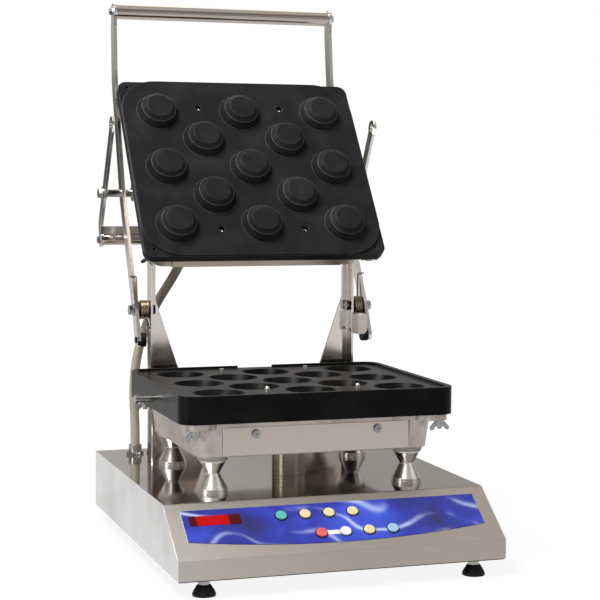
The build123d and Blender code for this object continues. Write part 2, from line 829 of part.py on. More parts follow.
# Lower plate: skirt, raised rim with a gap behind, thirteen stepped cups
plate_depth = plate_front + plate_rear
plate_mid_y = plate_y + (plate_rear - plate_front) / 2
cup_side = [(radius, plate_top - down) for radius, down in stepped_outline(cup_wall, cup_depth)]
with BuildSketch(Plane.XZ) as cup_profile:
    with BuildLine():
        Polyline(
            [(0, plate_top + 1), (boss_base + cup_wall, plate_top + 1)] + cup_side + [(0, plate_top - cup_depth)],
            close=True,
        )
    make_face()
with BuildPart() as lower_plate:
    with BuildSketch(Plane.XY.offset(skirt_z)):
        with Locations((0, plate_mid_y)):
            RectangleRounded(2 * plate_half_x, plate_depth, plate_corner)
    extrude(amount=plate_top + rim_height - skirt_z)
    with BuildSketch(Plane.XY.offset(plate_top)):
        with Locations((0, plate_mid_y + (front_rim_width - rear_rim_width) / 2)):
            RectangleRounded(
                2 * (plate_half_x - rim_width),
                plate_depth - front_rim_width - rear_rim_width,
                plate_corner - rim_width / 2,
            )
        with Locations((0, plate_y + plate_rear)):
            Rectangle(2 * rim_gap_half, 4 * rear_rim_width)
    extrude(amount=rim_height + 1, mode=Mode.SUBTRACT)
    with BuildSketch(Plane.XY.offset(skirt_z)):
        with Locations((0, plate_y)):
            RectangleRounded(2 * (pan_half_x + 0.5), 2 * (pan_half_y + 0.5), pan_corner + 0.5)
    extrude(amount=pan_rim, mode=Mode.SUBTRACT)
    for x, y in cup_places:
        revolve(
            cup_profile.sketch.moved(Location((x, plate_y + y, 0))),
            axis=Axis((x, plate_y + y, 0), (0, 0, 1)),
            mode=Mode.SUBTRACT,
        )
    with BuildSketch(Plane.XY.offset(skirt_z)):
        with Locations([(x, plate_y + y) for x, y in plate_studs]):
            Circle(stud_radius + 0.1)
    extrude(amount=14, mode=Mode.SUBTRACT)
    with BuildSketch(Plane.XY.offset(plate_top)):
        with Locations([(sx * locating_x, plate_y + sy * locating_y) for sx in (-1, 1) for sy in (-1, 1)]):
            Circle(locating_radius + 0.05)
    extrude(amount=-8, mode=Mode.SUBTRACT)
    for side in (-1, 1):
        rod(
            x_plane(side * (plate_half_x - 12), latch_pin_y, latch_pin_z),
            latch_pin_radius + 0.05,
            14,
            Mode.SUBTRACT,
        )
lower_plate.part.label = "lower_plate"
export_step(lower_plate.part, "parts/lower_plate.step")

# Locating pins that meet the holes in the upper plate
with BuildPart() as locating_pins:
    for sx in (-1, 1):
        for sy in (-1, 1):
            foot = Plane(origin=(sx * locating_x, plate_y + sy * locating_y, plate_top - 8))
            rod(foot, locating_radius, 8 + (locating_front_height if sy < 0 else locating_rear_height))
    chamfer(locating_pins.edges().group_by(Axis.Z)[-1], 1.4)
    chamfer(locating_pins.edges().group_by(Axis.Z)[-3], 1.4)
locating_pins.part.label = "locating_pins"
export_step(locating_pins.part, "parts/locating_pins.step")

# Latch pins in the plate's two sides
with BuildPart() as latch_pins:
    for side in (-1, 1):
        root = x_plane(side * (plate_half_x - 12), latch_pin_y, latch_pin_z)
        rod(root, latch_pin_radius, 12 + latch_pin_length)
        rod(root.offset(12 + latch_pin_length - 4), latch_pin_head, 4)
latch_pins.part.label = "latch_pins"
export_step(latch_pins.part, "parts/latch_pins.step")

with BuildPart() as lower_wing_nuts:
    under_lugs = Plane(
        origin=(0, plate_y, skirt_z - lug_height), x_dir=(1, 0, 0), z_dir=(0, 0, -1)
    )
    plate_fixings(under_lugs, plate_studs, lug_height + 12, 3)
lower_wing_nuts.part.label = "lower_wing_nuts"
export_step(lower_wing_nuts.part, "parts/lower_wing_nuts.step")

# Posts: folded sheet with a rear flange that widens into a gusset, screwed under the deck
foot_z = deck_z - sheet
with BuildPart() as post_right:
    with BuildSketch(side_plane(post_x - post_sheet)):
        with Locations((base_y + (post_front_back + post_rear_back) / 2, (foot_z + post_top) / 2)):
            Rectangle(post_rear_back - post_front_back, post_top - foot_z)
    extrude(amount=post_sheet)
    fillet(post_right.edges().filter_by(Axis.X).group_by(Axis.Z)[-1], 6)
    gusset_low_x = gusset_foot_x + 0.3
    with BuildSketch(Plane(origin=(0, base_y + post_rear_back, 0), x_dir=(1, 0, 0), z_dir=(0, -1, 0))):
        with BuildLine():
            Polyline(
                (post_x, foot_z),
                (post_x, post_top - 6),
                (post_x - post_flange, post_top - 6),
                (post_x - post_flange, gusset_top),
                (gusset_low_x, deck_z),
                (gusset_low_x, foot_z),
                close=True,
            )
        make_face()
    extrude(amount=post_sheet)
    with BuildSketch(Plane.XY.offset(foot_z)):
        with Locations(((post_x + gusset_low_x) / 2, base_y + post_rear_back - post_sheet + post_foot / 2)):
            Rectangle(post_x - gusset_low_x, post_foot)
        with Locations([(x, post_screw_y) for x in (post_screw_x, post_screw_inner_x)]):
            Circle(post_screw_radius + running_gap, mode=Mode.SUBTRACT)
    extrude(amount=-post_sheet)
    rod(x_plane(post_x - 2 * post_sheet, pivot_y, pivot_z), pivot_radius + running_gap, 20, Mode.SUBTRACT)
    rod(x_plane(post_x - 2 * post_sheet, anchor_y, anchor_z), anchor_shank_radius + 0.05, 20, Mode.SUBTRACT)
    rod(x_plane(post_x - 2 * post_sheet, stop_screw_y, stop_screw_z), 2.1, 20, Mode.SUBTRACT)
post_right.part.label = "post_right"
export_step(post_right.part, "parts/post_right.step")

with BuildPart() as post_left:
    mirror(post_right.part, about=Plane.YZ)
post_left.part.label = "post_left"
export_step(post_left.part, "parts/post_left.step")

with BuildPart() as base_screws:
    for side in (-1, 1):
        for x in (post_screw_x, post_screw_inner_x):
            pan_screw(Plane(origin=(side * x, post_screw_y, deck_z)), post_screw_radius, 4.8, 3, 12)
    stop_seat = x_plane(post_x + stop_sheet, stop_screw_y, stop_screw_z)
    pan_screw(stop_seat, 2, 3.8, 2.4, stop_sheet + post_sheet + 2)
    pan_cover_screws(pan_low, -1)
base_screws.part.label = "base_screws"
export_step(base_screws.part, "parts/base_screws.step")

# Pivot bolts through the posts, the springs and the arms
arm_outer = arm_x + arm_sheet
with BuildPart() as pivot_bolts:
    for side in (-1, 1):
        root = x_plane(side * (post_x - post_sheet - 5), pivot_y, pivot_z)
        grip = arm_outer + side_gap - (post_x - post_sheet - 5)
        rod(root, pivot_radius, grip)
        rod(x_plane(side * post_x, pivot_y, pivot_z), bush_radius, arm_x - side_gap - post_x)
        hexagon(root, 13, 5)
        rod(root.offset(grip), 8, 1.2)
        hexagon(root.offset(grip + 1.2), 13, 5.3)
pivot_bolts.part.label = "pivot_bolts"
export_step(pivot_bolts.part, "parts/pivot_bolts.step")

# Torsion springs: one wire from the post's anchor, round the pivot and up to the arm
with BuildPart() as spring_anchors:
    for side in (-1, 1):
        root = x_plane(side * post_x, anchor_y, anchor_z)
        rod(root, anchor_radius, anchor_length)
        rod(root.offset(-post_sheet), anchor_shank_radius, post_sheet)
        leg_hole = Plane(
            origin=(side * leg_start_x, anchor_y, anchor_z), z_dir=(0, cos(leg_angle), sin(leg_angle))
        )
        rod(leg_hole.offset(-2 * anchor_radius), wire_radius + 0.25, 4 * anchor_radius, Mode.SUBTRACT)
spring_anchors.part.label = "spring_anchors"
export_step(spring_anchors.part, "parts/spring_anchors.step")


def biarc(start, start_way, end, end_way):
    """The point where two arcs that leave and arrive along the given ways meet."""
    gap = end - start
    ways = start_way + end_way
    spread = 2 * (1 - start_way.dot(end_way))
    lead = gap.dot(ways)
    reach = (sqrt(lead * lead + spread * gap.dot(gap)) - lead) / spread
    return (start + start_way * reach + end - end_way * reach) * 0.5


def coil_point(turn):
    """A place on the coil's middle line and the way it runs there, for turns counted from its start."""
    angle = radians(coil_start_angle) + 2 * pi * turn
    place = Vector(
        coil_start_x + coil_pitch * turn,
        pivot_y + coil_radius * cos(angle),
        pivot_z + coil_radius * sin(angle),
    )
    way = Vector(coil_pitch / (2 * pi), -coil_radius * sin(angle), coil_radius * cos(angle))
    return place, way.normalized()


coil_first, first_way = coil_point(0)
coil_last, last_way = coil_point(coil_turns)
hook_corner = coil_last + last_way * ((hook_z - coil_last.Z) / last_way.Z)
with BuildPart() as torsion_spring_right:
    with BuildLine() as wire:
        Line(coil_first - first_way * (leg_length + 5), coil_first)
        for step in range(coil_steps):
            here, here_way = coil_point(coil_turns * step / coil_steps)
            there, there_way = coil_point(coil_turns * (step + 1) / coil_steps)
            middle = biarc(here, here_way, there, there_way)
            first = TangentArc(here, middle, tangent=here_way)
            TangentArc(middle, there, tangent=first % 1)
        FilletPolyline(coil_last, hook_corner, (hook_x_end, hook_corner.Y, hook_corner.Z), radius=2.5)
    with BuildSketch(Plane(origin=wire.wire() @ 0, z_dir=wire.wire() % 0)):
        Circle(wire_radius)
    sweep(path=wire.wire())
torsion_spring_right.part.label = "torsion_spring_right"
export_step(torsion_spring_right.part, "parts/torsion_spring_right.step")

with BuildPart() as torsion_spring_left:
    mirror(torsion_spring_right.part, about=Plane.YZ)
torsion_spring_left.part.label = "torsion_spring_left"
export_step(torsion_spring_left.part, "parts/torsion_spring_left.step")

turn_points = [coil_point(coil_turns * i / 400)[0] for i in range(401)]
half_turn = round(200 / coil_turns)
least_gap = min(
    (a - b).length - 2 * wire_radius
    for i, a in enumerate(turn_points)
    for b in turn_points[i + half_turn :]
)
print(f"spring: least gap between turns {least_gap:.2f}, volume {torsion_spring_right.part.volume:.0f}")
print(f"spring: section times length {pi * wire_radius**2 * wire.wire().length:.0f}")

# Stop bracket in front of the right arm's tail
tail_y = pivot_y + tail_back
tail_z = pivot_z + tail_drop
stop_face_y = tail_y - arm_width / 2 - stop_gap
stop_front_y = stop_face_y - stop_sheet
with BuildPart() as stop_bracket:
    with BuildSketch(Plane(origin=(0, stop_face_y, 0), x_dir=(1, 0, 0), z_dir=(0, -1, 0))) as front:
        with Locations(((post_x + stop_outer_x) / 2, (stop_low + stop_high) / 2)):
            Rectangle(stop_outer_x - post_x, stop_high - stop_low)
        fillet(front.vertices().sort_by(Axis.Y)[:2].sort_by(Axis.X)[-1], 8)
    extrude(amount=stop_sheet)
    tab_top = anchor_z - anchor_radius - 2
    tab_rear = base_y + post_front_back + 17
    tab_mid = base_y + post_front_back
    with BuildSketch(side_plane(post_x)):
        with Locations(((stop_front_y + tab_rear) / 2, (stop_low + tab_top) / 2)):
            Rectangle(tab_rear - stop_front_y, tab_top - stop_low)
        with Locations(((stop_front_y + tab_mid) / 2, (stop_low + stop_high) / 2)):
            Rectangle(tab_mid - stop_front_y, stop_high - stop_low)
        with Locations((stop_screw_y, stop_screw_z)):
            Circle(2.1, mode=Mode.SUBTRACT)
    extrude(amount=stop_sheet)
stop_bracket.part.label = "stop_bracket"
export_step(stop_bracket.part, "parts/stop_bracket.step")

# Lift arms: flat bars that lean inwards towards the handle
arm_normal = Vector(cos(radians(arm_lean)), 0, sin(radians(arm_lean)))
arm_plane = Plane(origin=(arm_x, pivot_y, pivot_z), x_dir=(0, 1, 0), z_dir=arm_normal)
handle_y = base_y + handle_back


def arm_spot(y, z):
    """A place on the arm's own plane, from its distances behind and above the pivot."""
    return (y - pivot_y, (z - pivot_z) / cos(radians(arm_lean)))


def arm_inner_x(z):
    """How far out the arm's inner face stands at a height."""
    return arm_x - (z - pivot_z) * tan(radians(arm_lean))


def flat_bar(points, bends, width):
    """A bar's outline: an even width along a bent middle line, with round ends."""
    with BuildLine(mode=Mode.PRIVATE) as middle:
        FilletPolyline(*points, radius=bends)
    SlotArc(middle.wire(), width)


arm_points = [
    (tail_y, tail_z),
    (pivot_y, pivot_z),
    (pin_y, pin_z),
    (handle_y - arm_knee_ahead, handle_z - arm_knee_drop),
    (handle_y + arm_bend_behind, handle_z - arm_bend_drop),
    (handle_y, handle_z),
]
with BuildPart() as arm_right:
    with BuildSketch(arm_plane):
        flat_bar([arm_spot(y, z) for y, z in arm_points], [60, 120, 120, 50], arm_width)
        with Locations(arm_spot(handle_y, handle_z)):
            Circle(arm_eye)
    extrude(amount=arm_sheet)
    for (y, z), radius in (
        ((pivot_y, pivot_z), pivot_radius + running_gap),
        ((pin_y, pin_z), lid_pin_radius + 0.05),
        ((handle_y, handle_z), 3.1),
    ):
        rod(x_plane(post_x, y, z), radius, 40, Mode.SUBTRACT)
    rod(x_plane(arm_inner_x(tail_z) - 1, tail_y, tail_z), 2.6, arm_sheet + 3, Mode.SUBTRACT)
arm_right.part.label = "arm_right"
export_step(arm_right.part, "parts/arm_right.step")

with BuildPart() as arm_left:
    mirror(arm_right.part, about=Plane.YZ)
arm_left.part.label = "arm_left"
export_step(arm_left.part, "parts/arm_left.step")

# Rubber bumpers on the arms' tails, each with a stem through the bar and a rivet head
with BuildPart() as arm_bumpers:
    for side in (-1, 1):
        face = arm_inner_x(tail_z) - 0.15
        rod(x_plane(side * (face - bumper_length), tail_y, tail_z), arm_width / 2, bumper_length)
        rod(x_plane(side * face, tail_y, tail_z), 2.5, arm_sheet + 0.4)
        rod(x_plane(side * (face + arm_sheet + 0.4), tail_y, tail_z), 4.5, 1.4)
arm_bumpers.part.label = "arm_bumpers"
export_step(arm_bumpers.part, "parts/arm_bumpers.step")

# Handle: a tube between the arms, closed by plugs that take a bolt from outside
handle_end = arm_inner_x(handle_z) - handle_radius * tan(radians(arm_lean)) - 0.05
with BuildPart() as handle_tube:
    for side in (-1, 1):
        rod(x_plane(side * 0.001, handle_y, handle_z).offset(-0.001), handle_radius, handle_end)
    for side in (-1, 1):
        rod(
            x_plane(side * 0.001, handle_y, handle_z).offset(-0.001),
            handle_radius - handle_wall,
            handle_end + 1,
            Mode.SUBTRACT,
        )
handle_tube.part.label = "handle_tube"
export_step(handle_tube.part, "parts/handle_tube.step")

handle_seat = arm_inner_x(handle_z) + (arm_sheet + 0.1) / cos(radians(arm_lean)) + 0.1
with BuildPart() as handle_bolts:
    for side in (-1, 1):
        root = x_plane(side * (handle_end - handle_plug), handle_y, handle_z)
        rod(root, handle_radius - handle_wall - 0.05, handle_plug)
        rod(root, 3, handle_seat - handle_end + handle_plug)
        hexagon(x_plane(side * handle_seat, handle_y, handle_z), 10, 4.5)
handle_bolts.part.label = "handle_bolts"
export_step(handle_bolts.part, "parts/handle_bolts.step")

# Lid pins: through the lid's ears, the arms and the latch bars
ear_inner_x = ear_x - ear_sheet
with BuildPart() as lid_pins:
    for side in (-1, 1):
        root = x_plane(side * (ear_inner_x - 3), pin_y, pin_z)
        rod(root, lid_pin_radius, lid_pin_out - ear_inner_x + 3)
        rod(root, lid_pin_radius + 2, 2.5)
        rod(x_plane(side * lid_pin_out, pin_y, pin_z), 9, 1.4)
        hexagon(x_plane(side * (lid_pin_out + 1.4), pin_y, pin_z), 13, 5)
lid_pins.part.label = "lid_pins"
export_step(lid_pins.part, "parts/lid_pins.step")


def lid_point(x, hinge, out):
    """A place given in the lid's own plane."""
    return lid_plane.from_local_coords(Vector(x, hinge, out))


# Upper plate: a rounded pad with square-cornered ears behind it and thirteen bosses
boss_side = Plane(origin=lid_plane.origin, x_dir=(1, 0, 0), z_dir=lid_plane.y_dir)
with BuildSketch(boss_side) as boss_profile:
    with BuildLine():
        Polyline([(0, -1), (boss_base, -1)] + stepped_outline(0, boss_height) + [(0, boss_height)], close=True)
    make_face()
lid_depth = lid_front + lid_rear
with BuildPart() as upper_plate:
    with BuildSketch(lid_plane):
        with Locations((0, (lid_rear - lid_front) / 2)):
            RectangleRounded(2 * lid_half_x, lid_depth, lid_corner)
    extrude(amount=lid_sheet)
    with BuildSketch(lid_plane.offset(ear_set_back)):
        with Locations((0, (lid_rear - lid_front) / 2)):
            RectangleRounded(2 * lid_half_x + 2, lid_depth + 1, ear_corner)
    extrude(amount=lid_sheet - ear_set_back)
    for x, y in cup_places:
        shift = lid_point(x, y, 0) - lid_plane.origin
        revolve(
            boss_profile.sketch.moved(Location(shift)), axis=Axis(lid_point(x, y, 0), lid_plane.z_dir)
        )
    with BuildSketch(lid_plane):
        with Locations([(sx * locating_x, sy * locating_y) for sx in (-1, 1) for sy in (-1, 1)]):
            Circle(locating_hole)
        with Locations(lid_studs):
            Circle(peep_radius)
    extrude(amount=lid_sheet, mode=Mode.SUBTRACT)
    with BuildSketch(lid_plane.offset(stud_sink)):
        with Locations(lid_studs):
            Circle(stud_radius + 0.1)
    extrude(amount=lid_sheet, mode=Mode.SUBTRACT)
upper_plate.part.label = "upper_plate"
export_step(upper_plate.part, "parts/upper_plate.step")

# Upper heater pan, turned over on the back of the upper plate
pan_high = Plane(
    origin=lid_point(0, lid_pan_shift, lid_sheet + pan_depth), x_dir=(1, 0, 0), z_dir=lid_plane.z_dir * -1
)
with BuildPart() as upper_heater_pan:
    pan_body(pan_high, 0, -1, [(x, lid_pan_shift - y) for x, y in lid_studs])
    with BuildSketch(lid_plane.offset(lid_sheet + pan_depth - pan_floor - 1)):
        with Locations(ear_bolt_places):
            Circle(ear_bolt_radius + 0.1)
    extrude(amount=pan_floor + 2, mode=Mode.SUBTRACT)
upper_heater_pan.part.label = "upper_heater_pan"
export_step(upper_heater_pan.part, "parts/upper_heater_pan.step")

with BuildPart() as upper_rear_cover:
    pan_cover(pan_high, -1)
upper_rear_cover.part.label = "upper_rear_cover"
export_step(upper_rear_cover.part, "parts/upper_rear_cover.step")

with BuildPart() as upper_heating_element:
    heating_loop(pan_high.offset(pan_depth - element_radius - 0.2))
upper_heating_element.part.label = "upper_heating_element"
export_step(upper_heating_element.part, "parts/upper_heating_element.step")

with BuildPart() as upper_wing_nuts:
    plate_fixings(
        lid_plane.offset(lid_sheet + lug_height), lid_studs, lug_height + lid_sheet - stud_sink - 0.2, 3
    )
upper_wing_nuts.part.label = "upper_wing_nuts"
export_step(upper_wing_nuts.part, "parts/upper_wing_nuts.step")

# Lid ears: upright plates on the pan's back that turn on the lid pins
pan_back = lid_sheet + pan_depth
with BuildPart() as lid_ears:
    for low_x in (-ear_x, ear_x - ear_sheet):
        ear_side = Plane(origin=lid_point(low_x, 0, 0), x_dir=lid_plane.y_dir, z_dir=(1, 0, 0))
        with BuildSketch(ear_side):
            with BuildLine():
                Polyline(
                    (ear_foot_low, pan_back),
                    (ear_foot_high, pan_back),
                    (-lid_pin_forward + ear_radius - 0.1, lid_pin_height + 1.5),
                    (-lid_pin_forward - ear_radius + 0.1, lid_pin_height + 1.5),
                    close=True,
                )
            make_face()
            with Locations((-lid_pin_forward, lid_pin_height)):
                Circle(ear_radius)
                Circle(lid_pin_radius + running_gap, mode=Mode.SUBTRACT)
        extrude(amount=ear_sheet)
    with BuildSketch(lid_plane.offset(pan_back)):
        with Locations([(s * (ear_x + ear_flange_x) / 2, (ear_foot_low + ear_foot_high) / 2) for s in (-1, 1)]):
            Rectangle(ear_x - ear_flange_x, ear_foot_high - ear_foot_low)
        with Locations(ear_bolt_places):
            Circle(ear_bolt_radius + 0.1, mode=Mode.SUBTRACT)
    extrude(amount=ear_sheet)
lid_ears.part.label = "lid_ears"
export_step(lid_ears.part, "parts/lid_ears.step")

with BuildPart() as lid_screws:
    pan_cover_screws(pan_high, -1)
    for x, y in ear_bolt_places:
        seat = lid_plane.offset(pan_back + ear_sheet)
        spot = Plane(origin=lid_point(x, y, pan_back + ear_sheet), x_dir=seat.x_dir, z_dir=seat.z_dir)
        hexagon(spot, 10, 4)
        rod(spot.offset(-ear_sheet - pan_floor - 2), ear_bolt_radius, ear_sheet + pan_floor + 2)
lid_screws.part.label = "lid_screws"
export_step(lid_screws.part, "parts/lid_screws.step")

# Terminal box on the pan's back, open towards the pan, with the conduit's upper gland
with BuildPart() as lid_terminal_box:
    with BuildSketch(lid_plane.offset(pan_back)):
        with Locations((box_x, box_hinge)):
            Rectangle(box_width, box_length)
    extrude(amount=box_height)
    fillet(lid_terminal_box.edges().filter_by(Axis(lid_plane.origin, lid_plane.z_dir)), 3)
    with BuildSketch(lid_plane.offset(pan_back)):
        with Locations((box_x, box_hinge)):
            Rectangle(box_width - 4, box_length - 4)
    extrude(amount=box_height - 2, mode=Mode.SUBTRACT)
    rod(
        Plane(origin=lid_point(box_x, box_hinge + box_length / 2 - 4, gland_out), z_dir=lid_plane.y_dir),
        gland_radius,
        8,
        Mode.SUBTRACT,
    )
lid_terminal_box.part.label = "lid_terminal_box"
export_step(lid_terminal_box.part, "parts/lid_terminal_box.step")

with BuildPart() as conduit_lid_gland:
    box_wall = Plane(
        origin=lid_point(box_x, box_hinge + box_length / 2, gland_out),
        x_dir=(1, 0, 0),
        z_dir=lid_plane.y_dir,
    )
    rod(box_wall.offset(-6), gland_radius - 0.2, 8)
    hexagon(box_wall, 22, 4)
    rod(box_wall.offset(4), 9.5, gland_length - 4)
    rod(box_wall.offset(-7), 5, gland_length + 8, Mode.SUBTRACT)
conduit_lid_gland.part.label = "conduit_lid_gland"
export_step(conduit_lid_gland.part, "parts/conduit_lid_gland.step")

# Latch bars: each turns on its lid pin, and its slot takes the plate's latch pin
slot_reach = hypot(latch_pin_y - closed_pin_y, latch_pin_z - closed_pin_z)
slot_y = pin_y + slot_reach * cos(radians(hook_angle))
slot_z = pin_z + slot_reach * sin(radians(hook_angle))
slot_half = latch_pin_radius + hook_slot_gap
mouth_angle = hook_angle + 90
tube_y = pin_y + yoke_tube_back
tube_z = pin_z - yoke_tube_drop
latched_angle = degrees(atan2(latch_pin_z - closed_pin_z, latch_pin_y - closed_pin_y)) + 360
print(f"latch turn {latched_angle - hook_angle - lift_angle:.3f} deg")
with BuildPart() as hook_bar_right:
    with BuildSketch(side_plane(hook_x)):
        flat_bar(
            [(slot_y, slot_z), (pin_y, pin_z), (pin_y + 27.5, pin_z - 46), (tube_y, tube_z)],
            [60, 20],
            hook_width,
        )
        with Locations((slot_y, slot_z)):
            Circle(hook_head)
        with Locations((pin_y, pin_z), (tube_y, tube_z)):
            Circle(hook_eye)
        with Locations((slot_y, slot_z)):
            Circle(slot_half, mode=Mode.SUBTRACT)
        with Locations(
            (slot_y + 15 * cos(radians(mouth_angle)), slot_z + 15 * sin(radians(mouth_angle)))
        ):
            Rectangle(30, 2 * slot_half, rotation=mouth_angle, mode=Mode.SUBTRACT)
        with Locations((pin_y, pin_z)):
            Circle(lid_pin_radius + running_gap, mode=Mode.SUBTRACT)
        with Locations((tube_y, tube_z)):
            Circle(3.1, mode=Mode.SUBTRACT)
    extrude(amount=hook_sheet)
hook_bar_right.part.label = "hook_bar_right"
export_step(hook_bar_right.part, "parts/hook_bar_right.step")

with BuildPart() as hook_bar_left:
    mirror(hook_bar_right.part, about=Plane.YZ)
hook_bar_left.part.label = "hook_bar_left"
export_step(hook_bar_left.part, "parts/hook_bar_left.step")

with BuildPart() as yoke_tube:
    with BuildSketch(Plane.YZ.offset(-hook_x)):
        with Locations((tube_y, tube_z)):
            Circle(yoke_tube_radius)
            Circle(yoke_tube_radius - yoke_tube_wall, mode=Mode.SUBTRACT)
    extrude(amount=2 * hook_x)
yoke_tube.part.label = "yoke_tube"
export_step(yoke_tube.part, "parts/yoke_tube.step")

with BuildPart() as yoke_strip:
    with BuildSketch(Plane.YZ.offset(-hook_x)):
        with Locations((tube_y, tube_z + yoke_tube_radius + strip_height / 2)):
            Rectangle(strip_sheet, strip_height)
    extrude(amount=2 * hook_x)
yoke_strip.part.label = "yoke_strip"
export_step(yoke_strip.part, "parts/yoke_strip.step")

with BuildPart() as yoke_bolts:
    for side in (-1, 1):
        root = x_plane(side * (hook_x - handle_plug), tube_y, tube_z)
        rod(root, yoke_tube_radius - yoke_tube_wall - 0.05, handle_plug)
        rod(root, 3, handle_plug + hook_sheet)
        hexagon(x_plane(side * (hook_x + hook_sheet), tube_y, tube_z), 10, 4)
yoke_bolts.part.label = "yoke_bolts"
export_step(yoke_bolts.part, "parts/yoke_bolts.step")
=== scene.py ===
import math

import bmesh
import bpy
from mathutils import Matrix, Vector


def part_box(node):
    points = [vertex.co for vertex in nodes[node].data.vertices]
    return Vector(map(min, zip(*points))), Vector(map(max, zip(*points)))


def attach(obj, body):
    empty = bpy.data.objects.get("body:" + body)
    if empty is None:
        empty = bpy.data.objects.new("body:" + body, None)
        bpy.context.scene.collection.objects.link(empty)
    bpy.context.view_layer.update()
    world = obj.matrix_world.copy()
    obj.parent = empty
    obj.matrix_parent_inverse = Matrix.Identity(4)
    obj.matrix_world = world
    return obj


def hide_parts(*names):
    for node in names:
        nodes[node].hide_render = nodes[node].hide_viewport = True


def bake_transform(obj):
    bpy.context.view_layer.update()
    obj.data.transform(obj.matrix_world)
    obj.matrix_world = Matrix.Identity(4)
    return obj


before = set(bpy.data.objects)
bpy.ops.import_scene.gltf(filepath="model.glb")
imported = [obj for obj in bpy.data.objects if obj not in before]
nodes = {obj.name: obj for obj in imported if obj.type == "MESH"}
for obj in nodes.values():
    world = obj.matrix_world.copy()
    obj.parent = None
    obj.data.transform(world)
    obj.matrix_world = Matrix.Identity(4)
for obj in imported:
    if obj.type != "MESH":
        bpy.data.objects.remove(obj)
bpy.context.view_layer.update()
scene = bpy.context.scene

# Reference lengths of the model, in metres
BASE_Y = -0.0455
DECK_Z = 0.1016
LIP_Z = 0.0466
FRONT_REACH = 0.2445
FRONT_Y = BASE_Y - FRONT_REACH
SLOPE_RISE = 0.055
SLOPE_RUN = 0.0769
SLOPE = math.atan2(SLOPE_RISE, SLOPE_RUN)
# Bands of the base sheet: the deck's fold, and where its painted light turns white on the left side
# and paler to the left
DECK_BAND = (DECK_Z - 0.0016, DECK_Z - 0.0006)
SIDE_BAND = (-0.2146, -0.2138)
PALER_BAND = (-0.2, 0.02)
WINDOW_X = -0.158
WINDOW_BAND = (0.0195, 0.0215)
OVERLAY_TOP = 0.0006
# Top of the dark rings of painted shade round the keys
SHADE_RING_TOP = 0.0011
TILT = math.radians(36.68)
PIVOT_Y = 0.1213
PIVOT_Z = 0.3141
BUSH_SEAT_X = 0.153
BUSH_BORE = 0.0105
BUSH_BODY = 0.0112
BUSH_FLANGE = 0.0124
BUSH_FLANGE_WIDTH = 0.0013
BUSH_BODY_END = 0.0155
BUSH_LENGTH = 0.0171
LOCATING_X = 0.0621
LOCATING_Y = 0.1080
LID_PIN_HEIGHT = 0.0912
LID_PIN_FORWARD = 0.0192
KEY_LINK_GAP = 0.006
KEY_LINK_FOOT = 0.0036
KEY_LINK_FACE = 0.0034
KEY_LINK_TOP = 0.0009
HOSE_DIAMETER = 0.0135

# The mix node's sockets in use: factor and two values, for colours and for numbers
MIX_COLOURS = (0, 6, 7)
MIX_COLOUR_OUT = 2
MIX_NUMBERS = (0, 2, 3)
MIX_NUMBER_OUT = 0

# The camera's lens in millimetres, its place in metres and its angles in degrees
CAMERA_LENS = 100.05
CAMERA_SENSOR = 36
CAMERA_PLACE = (-0.6975, BASE_Y - 2.1464, 0.5157)
CAMERA_YAW = 18.435
CAMERA_PITCH = 4.509
CAMERA_ROLL = 0.353


# Camera at the photograph's viewing angle
def look(place, yaw, pitch, roll):
    """A camera matrix from its place and its angles in degrees: yaw from +Y to +X, pitch down."""
    yaw, pitch, roll = (math.radians(a) for a in (yaw, pitch, roll))
    level = math.cos(pitch)
    ahead = Vector((math.sin(yaw) * level, math.cos(yaw) * level, -math.sin(pitch)))
    right = Vector((math.cos(yaw), -math.sin(yaw), 0))
    above = right.cross(ahead)
    rolled_right = math.cos(roll) * right + math.sin(roll) * above
    rolled_above = -math.sin(roll) * right + math.cos(roll) * above
    turn = Matrix((rolled_right, rolled_above, -ahead)).transposed().to_4x4()
    turn.translation = Vector(place)
    return turn


camera_data = bpy.data.cameras.new("camera")
camera_data.lens = CAMERA_LENS
camera_data.sensor_width = CAMERA_SENSOR
camera_data.sensor_fit = "HORIZONTAL"
camera = bpy.data.objects.new("camera", camera_data)
scene.collection.objects.link(camera)
camera.matrix_world = look(CAMERA_PLACE, CAMERA_YAW, CAMERA_PITCH, CAMERA_ROLL)
scene.camera = camera


# Small helpers
def link(obj):
    """Put an object into the scene."""
    scene.collection.objects.link(obj)
    return obj


def mesh_object(name, build, body, material, smooth=True):
    """An object made in bmesh by build(bm), riding on a body."""
    mesh = bpy.data.meshes.new(name)
    bm = bmesh.new()
    build(bm)
    bmesh.ops.recalc_face_normals(bm, faces=bm.faces)
    bm.to_mesh(mesh)
    bm.free()
    for face in mesh.polygons:
        face.use_smooth = smooth
    mesh.materials.append(material)
    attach(link(bpy.data.objects.new(name, mesh)), body)


